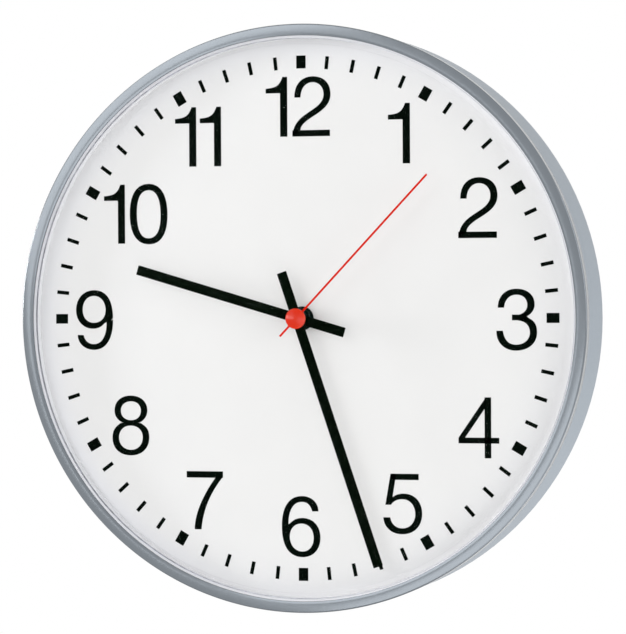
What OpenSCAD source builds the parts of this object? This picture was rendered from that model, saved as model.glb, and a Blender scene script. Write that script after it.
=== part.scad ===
// Round wall clock that follows a master clock: case, dial, hands and the geared movement behind them.
// Every piece is drawn lying on its back, x to the right, y up the dial and z out from the wall,
// and stand() then turns it upright with the wall plane at y = 0 and the hand axis on the y axis.

/* [Case] */
// Outer diameter of the bezel
case_d = 300; // [260:1:340]
// Thickness of the case's sheet metal
case_wall = 1.5; // [1.2:0.1:1.8]
// How much smaller the side wall's radius is than the bezel's
side_set_in = 0.7; // [0.4:0.1:1.2]
// Depth of the hollow behind the back plate, for the bracket and the cable
wall_recess = 5; // [4.5:0.1:6]
// Width of the ledge inside the case that the back plate is screwed to
ledge_w = 9.8; // [9:0.1:14]
// Thickness of that ledge
ledge_t = 1.4; // [1:0.1:2]

/* [Bezel] */
// Width of the bezel's front face
bezel_face = 5.9; // [5.5:0.1:8]
// Depth of the bezel's outer side
bezel_side = 6.7; // [6:0.1:7.5]
// Thickness of the bezel's skirt
bezel_wall = 1.9; // [1.5:0.1:2.2]
// Radius of the bezel's outer front edge
bezel_round = 1.2; // [0.8:0.1:1.6]
// Height of the crown across the bezel's front face
bezel_crown = 0.1; // [0.1:0.1:0.6]
// Width of the open seam between the bezel and the side wall
seam_w = 0.8; // [0.4:0.1:1.2]

/* [Lens] */
// Wall thickness of the domed lens
lens_t = 1.8; // [1.5:0.1:2]
// Free space between the minute hand's tip and the dome's shoulder
tip_clear = 0.42; // [0.35:0.01:0.8]
// How full the dome's shoulder is: a lower power stands steeper at the rim
dome_power = 0.25; // [0.2:0.01:0.28]
// Width of the flat flange around the dome
lens_flange = 3.6; // [3:0.1:4]
// Thickness of the gasket between lens and bezel
gasket_t = 0.4; // [0.3:0.1:0.6]

/* [Dial] */
// Depth of the dial's front face behind the front of the bezel
dial_inset = 8.5; // [7.5:0.1:10]
// Thickness of the dial sheet
dial_t = 1; // [0.8:0.1:1.5]
// Width of the hidden dial edge under the spacer ring
dial_edge = 3.4; // [3:0.1:4]
// Distance from the spacer ring's inner wall to the middle of the minute marks
mark_inset = 11.8; // [9:0.1:20]
// Length of every mark
mark_l = 6.6; // [4:0.1:8]
// Width of a five minute mark
hour_mark_w = 5; // [3:0.1:8]
// Width of a minute mark
minute_mark_w = 1.9; // [1:0.1:3]
// Thickness of the printed ink
ink_t = 0.08; // [0.05:0.01:0.2]
// Thickness of the ring that carries the dial
seat_t = 1.2; // [1:0.1:2]
// Width of the ring that carries the dial
seat_w = 9.8; // [8:0.1:16]

/* [Hands] */
// Width of the hour and minute hands
hand_w = 5; // [4:0.1:7]
// Thickness of the hour and minute hands
hand_t = 0.8; // [0.6:0.1:1]
// Hour hand, from the axis to its tip
hour_reach = 90; // [70:1:100]
// Hour hand, from the axis to its tail
hour_tail = 25.5; // [15:0.5:35]
// How far the minute hand's tip passes the middle of the marks
minute_over = 1.5; // [0:0.1:3]
// Minute hand, from the axis to its tail
minute_tail = 24.8; // [15:0.1:35]
// Second hand, from the axis to its tip
second_reach = 100; // [80:1:120]
// Second hand, from the axis to its tail
second_tail = 12.5; // [8:0.5:30]
// Width of the second hand
second_w = 1; // [0.8:0.1:2]
// Thickness of the second hand
second_t = 0.5; // [0.4:0.1:0.6]
// Height of the hour hand's front face above the dial
hour_hand_h = 8; // [7.2:0.1:9]
// Free space between one hand and the next
hand_gap = 1.5; // [1.5:0.1:1.8]
// Diameter of the cap on the second hand
cap_d = 10.7; // [8:0.1:14]
// Thickness of that cap
cap_t = 1.3; // [1:0.1:1.5]
// Wall of the collets that hold the hands on their tubes
collet_wall = 0.8; // [0.6:0.1:0.9]
// Radius of the hour hand's round middle
hour_hub_r = 4.6; // [4.4:0.1:5]
// Radius of the minute hand's round middle
minute_hub_r = 3.8; // [3.7:0.1:4.5]
// Radius of the second hand's round middle
second_hub_r = 2; // [1.6:0.1:3]
// Hour hand, degrees clockwise from twelve
hour_angle = 286.3; // [0:0.1:360]
// Minute hand, degrees clockwise from twelve
minute_angle = 161.3; // [0:0.1:360]
// Second hand, degrees clockwise from twelve
second_angle = 43.6; // [0:0.1:360]

/* [Arbors and tubes] */
// Radius of the second hand's arbor
second_arbor_r = 0.6; // [0.5:0.05:0.7]
// Outer radius of the minute tube
minute_tube_r = 1.5; // [1.3:0.05:1.6]
// Outer radius of the hour tube
hour_tube_r = 2.4; // [2.2:0.05:2.4]
// Outer radius of the threaded bushing
bushing_r = 4; // [3.8:0.1:4.4]
// Radial play of a shaft in its hole
run_play = 0.09; // [0.05:0.01:0.1]
// End play of an arbor between its plates
end_play = 0.3; // [0.3:0.05:0.4]
// Radius of the wheel arbors
arbor_r = 0.8; // [0.7:0.05:0.9]
// Radius of the pivots at the ends of the arbors
pivot_r = 0.5; // [0.4:0.05:0.6]
// Length of those pivots
pivot_l = 1.1; // [1:0.05:1.2]

/* [Wheel train] */
// Thickness of the brass wheels
wheel_t = 0.9; // [0.8:0.05:1]
// Pinion teeth on the rotor
rotor_teeth = 10;
// Wheel teeth on the intermediate arbor
inter_wheel_teeth = 60;
// Pinion teeth on the intermediate arbor
inter_pinion_teeth = 12;
// Wheel teeth on the second arbor
second_wheel_teeth = 60;
// Pinion teeth on the second arbor
second_pinion_teeth = 8;
// Wheel teeth on the third arbor
third_wheel_teeth = 64;
// Pinion teeth on the third arbor
third_pinion_teeth = 8;
// Teeth of the centre wheel
centre_teeth = 60;
// Teeth of the cannon pinion
cannon_teeth = 12;
// Wheel teeth of the motion wheel
motion_wheel_teeth = 36;
// Pinion teeth of the motion wheel
motion_pinion_teeth = 10;
// Teeth of the hour wheel
hour_teeth = 40;
// Pinion teeth on the setting arbor
setting_teeth = 12;
// Module of the third wheel and the second pinion
third_module = 0.425; // [0.42:0.005:0.43]
// Module of the seconds wheel and the intermediate pinion
second_module = 0.4; // [0.39:0.005:0.41]
// Module of the intermediate wheel and the rotor pinion
rotor_module = 0.35; // [0.345:0.005:0.36]
// Module of the cannon pinion and the motion wheel
cannon_module = 0.5; // [0.49:0.005:0.51]
// Tooth height above the pitch line, pinions, in modules
pinion_addendum = 0.8; // [0.7:0.05:0.85]
// Tooth height above the pitch line, wheels, in modules
wheel_addendum = 0.7; // [0.6:0.05:0.75]
// Tooth depth below the pitch line, in modules
dedendum = 1.25; // [1.2:0.01:1.3]
// How much narrower a tooth is than the gap that it runs in
tooth_play = 0.2; // [0.18:0.01:0.22]
// Width of a tooth's tip, in modules
tip_width = 0.4; // [0.3:0.05:0.45]
// Share of the tooth pitch that a tooth's foot takes up
root_share = 0.6; // [0.55:0.01:0.65]

// Width of a wheel's toothed rim below the roots
rim_w = 1.1; // [0.9:0.1:1.5]
// Width of a wheel's spokes
spoke_w = 1.6; // [1.2:0.1:2]
// Width of a wheel's hub around its hole
wheel_hub = 2.2; // [2:0.1:2.4]
// How far an arbor's pinion stands past the wheel that it meets
pinion_over = 0.3; // [0.2:0.05:0.35]

/* [Movement frame] */
// Thickness of the front and rear plates
plate_t = 2; // [1.8:0.1:2.2]
// Thickness of the middle plate
mid_plate_t = 1; // [0.8:0.05:1.1]
// Radius of the corners of the plates
plate_corner = 4; // [3:0.1:5]
// Radius of the pillars between the plates
pillar_r = 2.5; // [2.2:0.1:3]
// Left pillars, from the hand axis
pillar_left = -28; // [-30:0.5:-27]
// Right pillars, from the hand axis
pillar_right = 32; // [31.5:0.5:34]
// Upper pillars, above the hand axis
pillar_high = 28; // [27.5:0.5:30]
// Lower pillars, below the hand axis
pillar_low = -28; // [-30:0.5:-28]
// Distance from a pillar's middle to the edge of the plates
plate_edge = 4; // [3.6:0.1:5]
// Thickness of the bushing's flange
flange_t = 1.2; // [1:0.1:1.4]
// Thickness of the rubber washer behind the dial
seal_t = 0.8; // [0.6:0.1:1]
// Height of the fixing nut
nut_h = 3.4; // [3:0.1:3.8]
// Diameter of the fixing nut's round flange
nut_flange_d = 11.6; // [11:0.1:14]
// Thickness of that flange
nut_flange_t = 0.8; // [0.6:0.1:1]
// Width of the bushing's flange around its thread
bushing_flange_w = 3; // [2:0.1:4]
// Width of the rubber washer around the bushing
seal_w = 4; // [3:0.1:5]

/* [Motor] */
// Radius of the rotor magnet
magnet_r = 3.5; // [3:0.1:3.6]
// Air gap between the magnet and the stator
air_gap = 0.5; // [0.4:0.05:0.7]
// Thickness of the stator and of the coil core
stator_t = 1.2; // [1:0.1:1.3]
// Width of the stator's legs
leg_w = 3; // [2.6:0.1:3.2]
// Distance from the rotor to the outer edge of a leg
stator_half = 9.2; // [8.8:0.1:9.4]
// Radius of the coil's end flanges
coil_r = 4; // [3.4:0.1:4.1]
// Thickness of the coil's end flanges
coil_flange_t = 0.8; // [0.6:0.1:1]
// Height of the coil's bare middle below the hand axis
coil_low = 14; // [13.5:0.1:14.5]
// Width of the coil core
core_h = 3; // [2.6:0.1:3.2]
// Wall of the bobbin's tube
tube_wall = 0.5; // [0.4:0.05:0.6]

/* [Back] */
// Free space between the back plate and the movement
back_room = 3.1; // [2.8:0.1:6]
// Thickness of the back plate
back_t = 1.2; // [1:0.1:1.4]
// Number of screws that hold the back plate
back_screws = 6;
// Thickness of the wall bracket
bracket_t = 2; // [1.5:0.1:2]
// Half of the wall bracket's width
bracket_half = 40; // [38:1:50]
// Top of the wall bracket above the hand axis
bracket_top = 60; // [58:1:70]
// Bottom of the wall bracket below the hand axis
bracket_low = 14; // [12:0.5:15]
// Radius of the four wall screw holes
wall_hole_r = 2.5; // [2:0.1:3]
// Half of the sideways distance between those holes
wall_hole_x = 30; // [26:1:32]
// Upper row of those holes above the hand axis
wall_hole_high = 50; // [49:1:52]
// Lower row of those holes below the hand axis
wall_hole_low = 4; // [2:1:6]
// Width of the tongues that the clock hangs on
tongue_w = 12; // [8:1:14]
// Sideways distance of a tongue from the hand axis
tongue_x = 16; // [14:1:18]
// Height above the hand axis of the edge that the clock hangs on
tongue_y = 40; // [36:1:42]
// Height of the tongue's upturned lip
lip_h = 3.5; // [2.5:0.1:4]
// Bore of the cable grommet
cable_r = 4; // [3:0.1:4.5]
// Distance of the cable entry below the hand axis
cable_low = 80; // [70:1:100]
// Radius of the setting knob
knob_r = 6; // [5:0.1:7]
// How far the knob stands out behind the back plate
knob_out = 2; // [1:0.1:2.5]
// Number of grooves around the knob
knob_grooves = 30;

/* [Terminal block] */
// Distance of the block to the right of the hand axis
block_x = 30; // [26:1:50]
// Half of the block's width between its lugs
block_half_w = 11; // [10:0.5:14]
// Half of the block's height
block_half_h = 7; // [6:0.5:9]
// How far the block stands off the back plate
block_h = 11; // [9.5:0.5:14]
// Length of the lugs at the block's ends
block_lug = 6; // [5.6:0.1:8]
// Thickness of the lugs
lug_t = 2.4; // [1.8:0.1:3]
// Distance between the two poles
pole_step = 10; // [8:0.5:12]
// Radius of the wells of the clamp screws
pole_r = 2.2; // [1.8:0.1:2.6]
// Radius of the wire entries
wire_hole_r = 1.6; // [1.2:0.1:1.8]
// Radius of an inner lead
lead_r = 0.6; // [0.4:0.05:0.8]

/* [Circuit board] */
// Left edge of the board, from the hand axis
board_left = 8; // [7:0.5:9]
// Width of the board
board_w = 20.5; // [19:0.5:21]
// Height of the board
board_l = 10; // [9.6:0.1:10]
// Thickness of the board
board_t = 1.2; // [1:0.1:1.6]
// Height of the feet that hold the board off the rear plate
board_foot = 1.5; // [1:0.1:2.5]

/* [Hidden] */
$fn = 96;
// Roundness of the large rings, of screw heads and of small holes
ring_fn = 180;
head_fn = 48;
small_fn = 32;
// Seat clearance between pieces that are assembled and stay put
fit = 0.02;
// How far a cutting tool runs past the face that it cuts
past = 1;

// Case, from the outside in
bezel_r = case_d / 2;
side_r = bezel_r - side_set_in;
inside_r = side_r - case_wall;
skirt_in_r = bezel_r - bezel_wall;
neck_play = 0.2;
neck_r = skirt_in_r - neck_play;
neck_in_r = neck_r - case_wall;
lip_r = bezel_r - bezel_face;
edge_chamfer = 0.4;

// Dial and what seats on it
dial_play = 0.2;
dial_r = neck_in_r - dial_play;
view_r = dial_r - dial_edge;
mark_r = view_r - mark_inset;
seat_r = inside_r - fit;
rim_t = 0.4;
lens_play = 0.2;
lens_r = dial_r - rim_t - lens_play;
lip_drop = 1.3;
gasket_set_back = 0.1;
dome_r = lens_r - lens_flange;
gasket_in_r = lip_r + gasket_set_back;
neck_short = 0.6;

// Back plate
back_z = wall_recess;
back_front_z = back_z + back_t;
back_play = 0.3;
back_r = inside_r - back_play;
ledge_r = inside_r - ledge_w;
back_screw_r = (back_r + ledge_r) / 2;
screw_r = 1.5;
screw_head_r = 2.8;
screw_head_t = 1.8;
screw_l = 4;
screw_clear = 0.1;

// Levels of the movement, from its rear plate forwards
rear_z = back_front_z + back_room;
rear_top = rear_z + plate_t;
rear_gap = 0.7;
inter_wheel_z = rear_top + rear_gap;
inter_gap = 0.8;
level_gap = 0.4;
inter_pinion_z = inter_wheel_z + wheel_t + inter_gap;
second_wheel_z = inter_pinion_z + level_gap;
inter_pinion_top = second_wheel_z + wheel_t + level_gap;
second_boss_l = 1.5;
mid_z = second_wheel_z + wheel_t + second_boss_l + end_play;
mid_top = mid_z + mid_plate_t;
second_pinion_l = 1.5;
second_pinion_z = mid_top + level_gap;
second_pinion_top = second_pinion_z + second_pinion_l;
third_wheel_z = (second_pinion_z + second_pinion_top) / 2 - wheel_t / 2;
tube_end_l = 0.8;
minute_end_z = second_pinion_top + level_gap;
centre_wheel_z = minute_end_z + tube_end_l;
stud_room = 0.9;
cannon_l = 2.3;
cannon_z = centre_wheel_z + wheel_t + stud_room;
cannon_top = cannon_z + cannon_l;
motion_wheel_z = cannon_z + cannon_l / 2 - wheel_t / 2;
hour_end_z = cannon_top + level_gap;
hour_wheel_z = hour_end_z + tube_end_l;
hour_boss_l = 1.6;
front_z = hour_wheel_z + wheel_t + hour_boss_l + end_play;
flange_z = front_z + plate_t;
seal_z = flange_z + flange_t;

// Levels of the case, from the dial forwards
dial_z = seal_z + seal_t;
dial_h = dial_z + dial_t;
case_depth = dial_h + dial_inset;
bezel_bottom_z = case_depth - bezel_side;
shoulder_z = bezel_bottom_z - seam_w;
lip_z = case_depth - lip_drop;
lens_top_z = lip_z - gasket_t;
lens_z = lens_top_z - lens_t;
neck_top_z = lip_z - neck_short;

// Gear centres, each set from the pitch radii of the pair that meshes there
function pitch_r(teeth, mod) = teeth * mod / 2;
function polar(r, a) = [r * cos(a), r * sin(a)];
third_dist = pitch_r(second_pinion_teeth + third_wheel_teeth, third_module);
centre_module = 2 * third_dist / (third_pinion_teeth + centre_teeth);
inter_dist = pitch_r(inter_pinion_teeth + second_wheel_teeth, second_module);
rotor_dist = pitch_r(rotor_teeth + inter_wheel_teeth, rotor_module);
motion_dist = pitch_r(cannon_teeth + motion_wheel_teeth, cannon_module);
hour_module = 2 * motion_dist / (motion_pinion_teeth + hour_teeth);
setting_dist = pitch_r(setting_teeth + motion_wheel_teeth, cannon_module);
third_dir = 135;
inter_dir = 45;
rotor_dir = -10;
motion_dir = -90;
third_at = polar(third_dist, third_dir);
inter_at = polar(inter_dist, inter_dir);
rotor_at = inter_at + polar(rotor_dist, rotor_dir);
motion_at = polar(motion_dist, motion_dir);
setting_at = motion_at + polar(setting_dist, motion_dir);

// Turn that puts a gear in mesh: its gap faces the tooth of the gear that it meets in direction dir
function mesh_turn(dir, turn, teeth, own_teeth) =
    let (step = 360 / teeth, own = 360 / own_teeth, share = (dir - turn) / step)
    dir + 180 - (0.5 - (share - floor(share))) * own;
centre_turn = 0;
third_pinion_turn = mesh_turn(third_dir, centre_turn, centre_teeth, third_pinion_teeth);
third_wheel_turn = third_pinion_turn;
second_pinion_turn = mesh_turn(third_dir + 180, third_wheel_turn, third_wheel_teeth, second_pinion_teeth);
second_wheel_turn = 0;
inter_pinion_turn = mesh_turn(inter_dir, second_wheel_turn, second_wheel_teeth, inter_pinion_teeth);
inter_wheel_turn = 0;
rotor_turn = mesh_turn(rotor_dir, inter_wheel_turn, inter_wheel_teeth, rotor_teeth);
motion_wheel_turn = mesh_turn(motion_dir, centre_turn, cannon_teeth, motion_wheel_teeth);
motion_pinion_turn = 0;
hour_turn = mesh_turn(motion_dir + 180, motion_pinion_turn, motion_pinion_teeth, hour_teeth);
setting_turn = mesh_turn(motion_dir, motion_wheel_turn, motion_wheel_teeth, setting_teeth);

// Hand levels, from the dial forwards
minute_reach = mark_r + minute_over;
hour_top_z = dial_h + hour_hand_h;
hour_hand_z = hour_top_z - hand_t;
minute_hand_z = hour_top_z + hand_gap;
minute_top_z = minute_hand_z + hand_t;
second_gap = 0.6;
second_hand_z = minute_top_z + second_gap;
cap_z = second_hand_z + second_t;
arbor_in_cap = 0.6;
nut_top_z = dial_h + nut_h;
bushing_over = 0.4;
bushing_top_z = nut_top_z + bushing_over;
boss_gap = 0.5;
minute_collet_l = 1;

// Dome: its shoulder has to clear the minute hand's tip, which sets how high it stands
shoulder_share = pow(1 - pow(minute_reach / (dome_r - lens_t), 2), dome_power);
dome_rise = (minute_top_z + tip_clear - lens_z) / shoulder_share;

// Plates, pillars and motor
pillar_mid = -1;
pillar_spots = [
    [pillar_left, pillar_high], [pillar_right, pillar_high], [pillar_right, pillar_low],
    [pillar_left, pillar_low], [pillar_left, pillar_mid]
];
mid_low = -6;
collar_r = pillar_r + 1;
collar_t = 1.2;
pivot_room = 0.4;
boss_wall = 1;
pillar_head_r = 2.2;
pillar_head_t = 1.4;
tenon_r = 1.5;
pillar_screw_r = 1.2;
pillar_screw_l = 5;
magnet_z = inter_wheel_z + wheel_t + inter_gap;
magnet_top = mid_z - level_gap;
stator_z = (magnet_z + magnet_top) / 2 - stator_t / 2;
core_z = stator_z + stator_t;
coil_y = -coil_low;
pole_top = 6;
leg_low = 3;
bobbin_gap = 0.1;
coil_z = core_z + stator_t / 2;
coil_left = rotor_at[0] - stator_half + leg_w + bobbin_gap;
coil_right = rotor_at[0] + stator_half - leg_w - bobbin_gap;
post_r = 1.4;
post_screw_r = 0.6;
post_screw_head_r = 1.1;
post_screw_head_t = 0.7;
post_screw_l = 4;
post_spots = [for (s = [-1, 1]) [rotor_at[0] + s * (stator_half - leg_w / 2), coil_y]];

// Circuit board beside the coil
board_right = board_left + board_w;
board_low = pillar_low - plate_edge + 1;
board_top = board_low + board_l;
board_z = rear_top + board_foot;
board_front = board_z + board_t;
foot_r = 1.2;
foot_in = 2;
pin_r = 0.8;
pin_h = 2.6;
pin_y = board_low + 2.5;
pin_xs = [board_left + 6, board_left + 14];
body_r = 1.1;
body_l = 6;
body_x = board_left + 4;
body_ys = [board_low + 5.4, board_low + 8.1];
chip_size = [5, 3.4, 2];
chip_at = [board_left + 13, board_low + 5.5];

// Terminal block and cable entry
block_y = -cable_low;
pole_xs = [block_x - pole_step / 2, block_x + pole_step / 2];
pole_well = 7;
clamp_t = 1.6;
clamp_shank_r = 1.4;
clamp_shank_l = 3;
wire_z = 3.5;
rib_w = 1.2;
grommet_groove = 0.1;
grommet_lip = 2;
grommet_lip_t = 1.5;
grommet_neck = 2;
grommet_chamfer = 0.5;
lead_side = 2;
lead_rise = 3;
lead_arch = 2;
lead_pin = 1.4;

// Knob
knob_hole_play = 2;
knob_back_z = back_z - knob_out;
knob_hub_l = 0.8;
knob_hub_r = 2.5;
knob_cap_t = 1;
knob_groove = 0.3;
knob_front_z = rear_z - end_play - knob_hub_l;

// Turns a piece from lying on its back to hanging on the wall
module stand() {
    rotate([90, 0, 0]) children();
}

// Ring between two radii and two heights
module ring(outer, inner, low, high, fine = $fn) {
    translate([0, 0, low]) difference() {
        cylinder(r = outer, h = high - low, $fn = fine);
        translate([0, 0, -past]) cylinder(r = inner, h = high - low + 2 * past, $fn = fine);
    }
}

// Disc at a spot on the dial plane
module disc(at, r, low, high, fine = $fn) {
    translate([at[0], at[1], low]) cylinder(r = r, h = high - low, $fn = fine);
}

// Outline of a gear: six corners for each tooth, from root to pitch line to tip and back
function gear_outline(teeth, mod, addendum) =
    let (
        mid_r = pitch_r(teeth, mod),
        tip_r = mid_r + addendum * mod,
        root_r = mid_r - dedendum * mod,
        mid_half = (PI * mod / 2 - tooth_play) / 2 / mid_r * 180 / PI,
        tip_half = tip_width * mod / 2 / tip_r * 180 / PI,
        root_half = 180 / teeth * root_share,
        corners = [
            [root_r, -root_half], [mid_r, -mid_half], [tip_r, -tip_half],
            [tip_r, tip_half], [mid_r, mid_half], [root_r, root_half]
        ]
    )
    [for (k = [0 : teeth - 1], c = corners) polar(c[0], k * 360 / teeth + c[1])];

// Pinion: a toothed block with a hole for what it sits on
module pinion(at, teeth, mod, turn, low, high, hole_r = 0) {
    translate([at[0], at[1], low]) rotate(turn) difference() {
        linear_extrude(high - low) polygon(gear_outline(teeth, mod, pinion_addendum));
        if (hole_r > 0)
            translate([0, 0, -past]) cylinder(r = hole_r, h = high - low + 2 * past);
    }
}

// Crossed-out brass wheel: toothed rim, spokes and a hub with a hole
module spoked_wheel(at, teeth, mod, turn, low, hole_r, spokes = 4) {
    rim_in = pitch_r(teeth, mod) - dedendum * mod - rim_w;
    first_spoke = 20;
    translate([at[0], at[1], low]) rotate(turn) difference() {
        linear_extrude(wheel_t) polygon(gear_outline(teeth, mod, wheel_addendum));
        translate([0, 0, -past]) cylinder(r = hole_r, h = wheel_t + 2 * past);
        difference() {
            ring(rim_in, hole_r + wheel_hub, -past, wheel_t + past);
            for (k = [0 : spokes - 1])
                rotate(k * 360 / spokes + first_spoke)
                    translate([0, -spoke_w / 2, -2 * past])
                        cube([rim_in + past, spoke_w, wheel_t + 4 * past]);
        }
    }
}

// Arbor: a shaft with a thinner pivot at each end
module arbor(at, low, high) {
    disc(at, arbor_r, low, high);
    disc(at, pivot_r, low - pivot_l, high + pivot_l);
}

// Straight flat hand: a round middle on a collet, and a bar with a square end on either side of it
module hand(angle, reach, tail, width, thick, low, hub_r, hole_r, collet_l = 0) {
    root = (hub_r + hole_r) / 2;
    translate([0, 0, low]) rotate(-angle) difference() {
        union() {
            cylinder(r = hub_r, h = thick);
            translate([-width / 2, root, 0]) cube([width, reach - root, thick]);
            translate([-width / 2, -tail, 0]) cube([width, tail - root, thick]);
            if (collet_l > 0)
                translate([0, 0, -collet_l]) cylinder(r = hole_r + collet_wall, h = collet_l + thick / 2);
        }
        translate([0, 0, -collet_l - past]) cylinder(r = hole_r, h = collet_l + thick + 2 * past);
    }
}

// Plate with true round corners, kept exact because bores pass through it
module exact_plate(left, low, right, top, corner, z, thick) {
    translate([0, 0, z]) union() {
        translate([left + corner, low, 0]) cube([right - left - 2 * corner, top - low, thick]);
        translate([left, low + corner, 0]) cube([right - left, top - low - 2 * corner, thick]);
        for (x = [left + corner, right - corner], y = [low + corner, top - corner])
            translate([x, y, 0]) cylinder(r = corner, h = thick, $fn = small_fn);
    }
}

// Pan head screw: a head with a rounded rim and a cross-cut slot, on a plain shank
module pan_screw(at, seat, shank_r, shank_l, head_r, head_t, up = true) {
    way = up ? 1 : -1;
    slot_w = head_r * 0.32;
    translate([at[0], at[1], seat]) mirror([0, 0, up ? 0 : 1]) {
        translate([0, 0, -shank_l]) cylinder(r = shank_r, h = shank_l + head_t / 2, $fn = small_fn);
        difference() {
            rotate_extrude($fn = head_fn)
                polygon([[0, 0], [head_r, 0], [head_r, head_t * 0.55],
                         [head_r * 0.93, head_t * 0.8], [head_r * 0.75, head_t], [0, head_t]]);
            translate([-head_r - past, -slot_w / 2, head_t * 0.5])
                cube([2 * (head_r + past), slot_w, head_t]);
        }
    }
}

// Case pan: side wall, set-in neck that the bezel slips over, and the ledge for the back plate
module casing() {
    color("lightslategray") stand() difference() {
        rotate_extrude($fn = ring_fn)
            polygon([
                [side_r - edge_chamfer, 0], [side_r, edge_chamfer],
                [side_r, shoulder_z - edge_chamfer], [side_r - edge_chamfer, shoulder_z],
                [neck_r, shoulder_z], [neck_r, neck_top_z - edge_chamfer],
                [neck_r - edge_chamfer, neck_top_z], [neck_in_r, neck_top_z],
                [neck_in_r, dial_z], [inside_r, dial_z],
                [inside_r, back_front_z + ledge_t], [ledge_r, back_front_z + ledge_t],
                [ledge_r, back_front_z], [inside_r, back_front_z], [inside_r, 0]
            ]);
        for (k = [0 : back_screws - 1])
            disc(polar(back_screw_r, (k + 0.5) * 360 / back_screws), screw_r + fit,
                 back_front_z - past, back_front_z + ledge_t + past, small_fn);
    }
}

// Flat back plate: slots for the bracket's tongues, cable hole and knob hole
module back_plate() {
    slot_half = tongue_w / 2 + 1;
    color("silver") stand() difference() {
        disc([0, 0], back_r, back_z, back_front_z, ring_fn);
        for (k = [0 : back_screws - 1])
            disc(polar(back_screw_r, (k + 0.5) * 360 / back_screws), screw_r + screw_clear,
                 back_z - past, back_front_z + past, small_fn);
        for (s = [-1, 1])
            translate([s * tongue_x - slot_half, tongue_y - lip_h - bracket_t, back_z - past])
                cube([2 * slot_half, lip_h + bracket_t, back_t + 2 * past]);
        disc([0, -cable_low], cable_r + grommet_neck + grommet_groove, back_z - past, back_front_z + past);
        disc(setting_at, knob_r + knob_hole_play, back_z - past, back_front_z + past);
        for (s = [-1, 1])
            disc([block_x + s * (block_half_w + block_lug / 2), block_y], screw_r + fit,
                 back_z - past, back_front_z + past, small_fn);
    }
}

// Screws that hold the back plate to the ledge
module back_plate_screws() {
    color("gainsboro") stand()
        for (k = [0 : back_screws - 1])
            pan_screw(polar(back_screw_r, (k + 0.5) * 360 / back_screws), back_z, screw_r, screw_l,
                      screw_head_r, screw_head_t, false);
}

// Wall bracket: flat plate with four screw holes and two tongues with upturned lips
module wall_bracket() {
    corner = 6;
    tongue_t = 1.5;
    hang_gap = 0.6;
    lip_play = 1;
    lip_z0 = back_front_z + hang_gap;
    lip_t = 1.3;
    color("silver") stand() difference() {
        union() {
            exact_plate(-bracket_half, -bracket_low, bracket_half, bracket_top, corner, 0, bracket_t);
            for (s = [-1, 1]) {
                translate([s * tongue_x - tongue_w / 2, tongue_y - tongue_t - fit, bracket_t - fit])
                    cube([tongue_w, tongue_t, lip_z0 + lip_t - bracket_t + fit]);
                translate([s * tongue_x - tongue_w / 2, tongue_y - tongue_t - fit, lip_z0])
                    cube([tongue_w, tongue_t + lip_h - lip_play, lip_t]);
            }
        }
        for (x = [-wall_hole_x, wall_hole_x], y = [-wall_hole_low, wall_hole_high])
            disc([x, y], wall_hole_r, -past, bracket_t + past, head_fn);
    }
}

// Bezel ring: crowned face, rounded outer edge and a skirt that slips over the case's neck
module bezel() {
    crown_steps = 8;
    round_steps = 6;
    lip_round = 0.2;
    skirt_edge = 0.3;
    face_in = lip_r + lip_round;
    face_out = bezel_r - bezel_round;
    face_z = case_depth - bezel_crown;
    middle = (face_in + face_out) / 2;
    half = (face_out - face_in) / 2;
    face = [for (i = [0 : crown_steps])
        let (r = face_in + (face_out - face_in) * i / crown_steps)
        [r, face_z + bezel_crown * (1 - pow((r - middle) / half, 2))]];
    edge = [for (i = [1 : round_steps])
        let (a = 90 - 90 * i / round_steps)
        [bezel_r - bezel_round + bezel_round * cos(a), face_z - bezel_round + bezel_round * sin(a)]];
    color("slategray") stand() rotate_extrude($fn = ring_fn)
        polygon(concat(
            [[lip_r, lip_z], [lip_r, face_z - lip_round]], face, edge,
            [[bezel_r, bezel_bottom_z + skirt_edge], [bezel_r - skirt_edge, bezel_bottom_z],
             [skirt_in_r, bezel_bottom_z], [skirt_in_r, lip_z]]
        ));
}

// Profile of the dome from its rim to its middle: the height falls as a power of 1 - (r / rim)^2
function dome_profile(rim_r, rim_z, steps) =
    [for (i = [0 : steps])
        let (t = 90 * (1 - pow(i / steps, 1.6)), drop = cos(t) * cos(t))
        [rim_r * sin(t), rim_z + dome_rise * pow(drop, dome_power)]];

// Clear lens: a dome with a full shoulder and an even wall, on a flat flange
module lens() {
    steps = 22;
    outer = dome_profile(dome_r, lens_top_z, steps);
    inner = dome_profile(dome_r - lens_t, lens_z, steps);
    color("aliceblue", 0.3) stand() rotate_extrude($fn = ring_fn)
        polygon(concat([[lens_r, lens_z], [lens_r, lens_top_z]], outer,
                       [for (i = [steps : -1 : 0]) inner[i]]));
}

// Soft gasket between the lens flange and the bezel's lip
module lens_gasket() {
    color("whitesmoke") stand() ring(dial_r, gasket_in_r, lens_top_z, lip_z, ring_fn);
}

// Flat steel ring that the dial lies on, seated under the case's shoulder
module dial_seat_ring() {
    color("gray") stand() ring(seat_r, inside_r - seat_w, dial_z - seat_t, dial_z, ring_fn);
}

// Dial sheet with a hole for the bushing
module dial() {
    color("white") stand() ring(dial_r, bushing_r + screw_clear, dial_z, dial_h, ring_fn);
}

// White ring that holds the lens off the dial, with a rim around the lens flange
module spacer_ring() {
    color("whitesmoke") stand() rotate_extrude($fn = ring_fn)
        polygon([[view_r, dial_h], [dial_r, dial_h], [dial_r, lens_top_z],
                 [dial_r - rim_t, lens_top_z], [dial_r - rim_t, lens_z], [view_r, lens_z]]);
}

// Sixty printed marks, the five minute ones wider
module minute_marks() {
    color("black") stand()
        for (k = [0 : 59]) {
            w = k % 5 == 0 ? hour_mark_w : minute_mark_w;
            rotate(-6 * k) translate([-w / 2, mark_r - mark_l / 2, dial_h]) cube([w, mark_l, ink_t]);
        }
}

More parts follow.
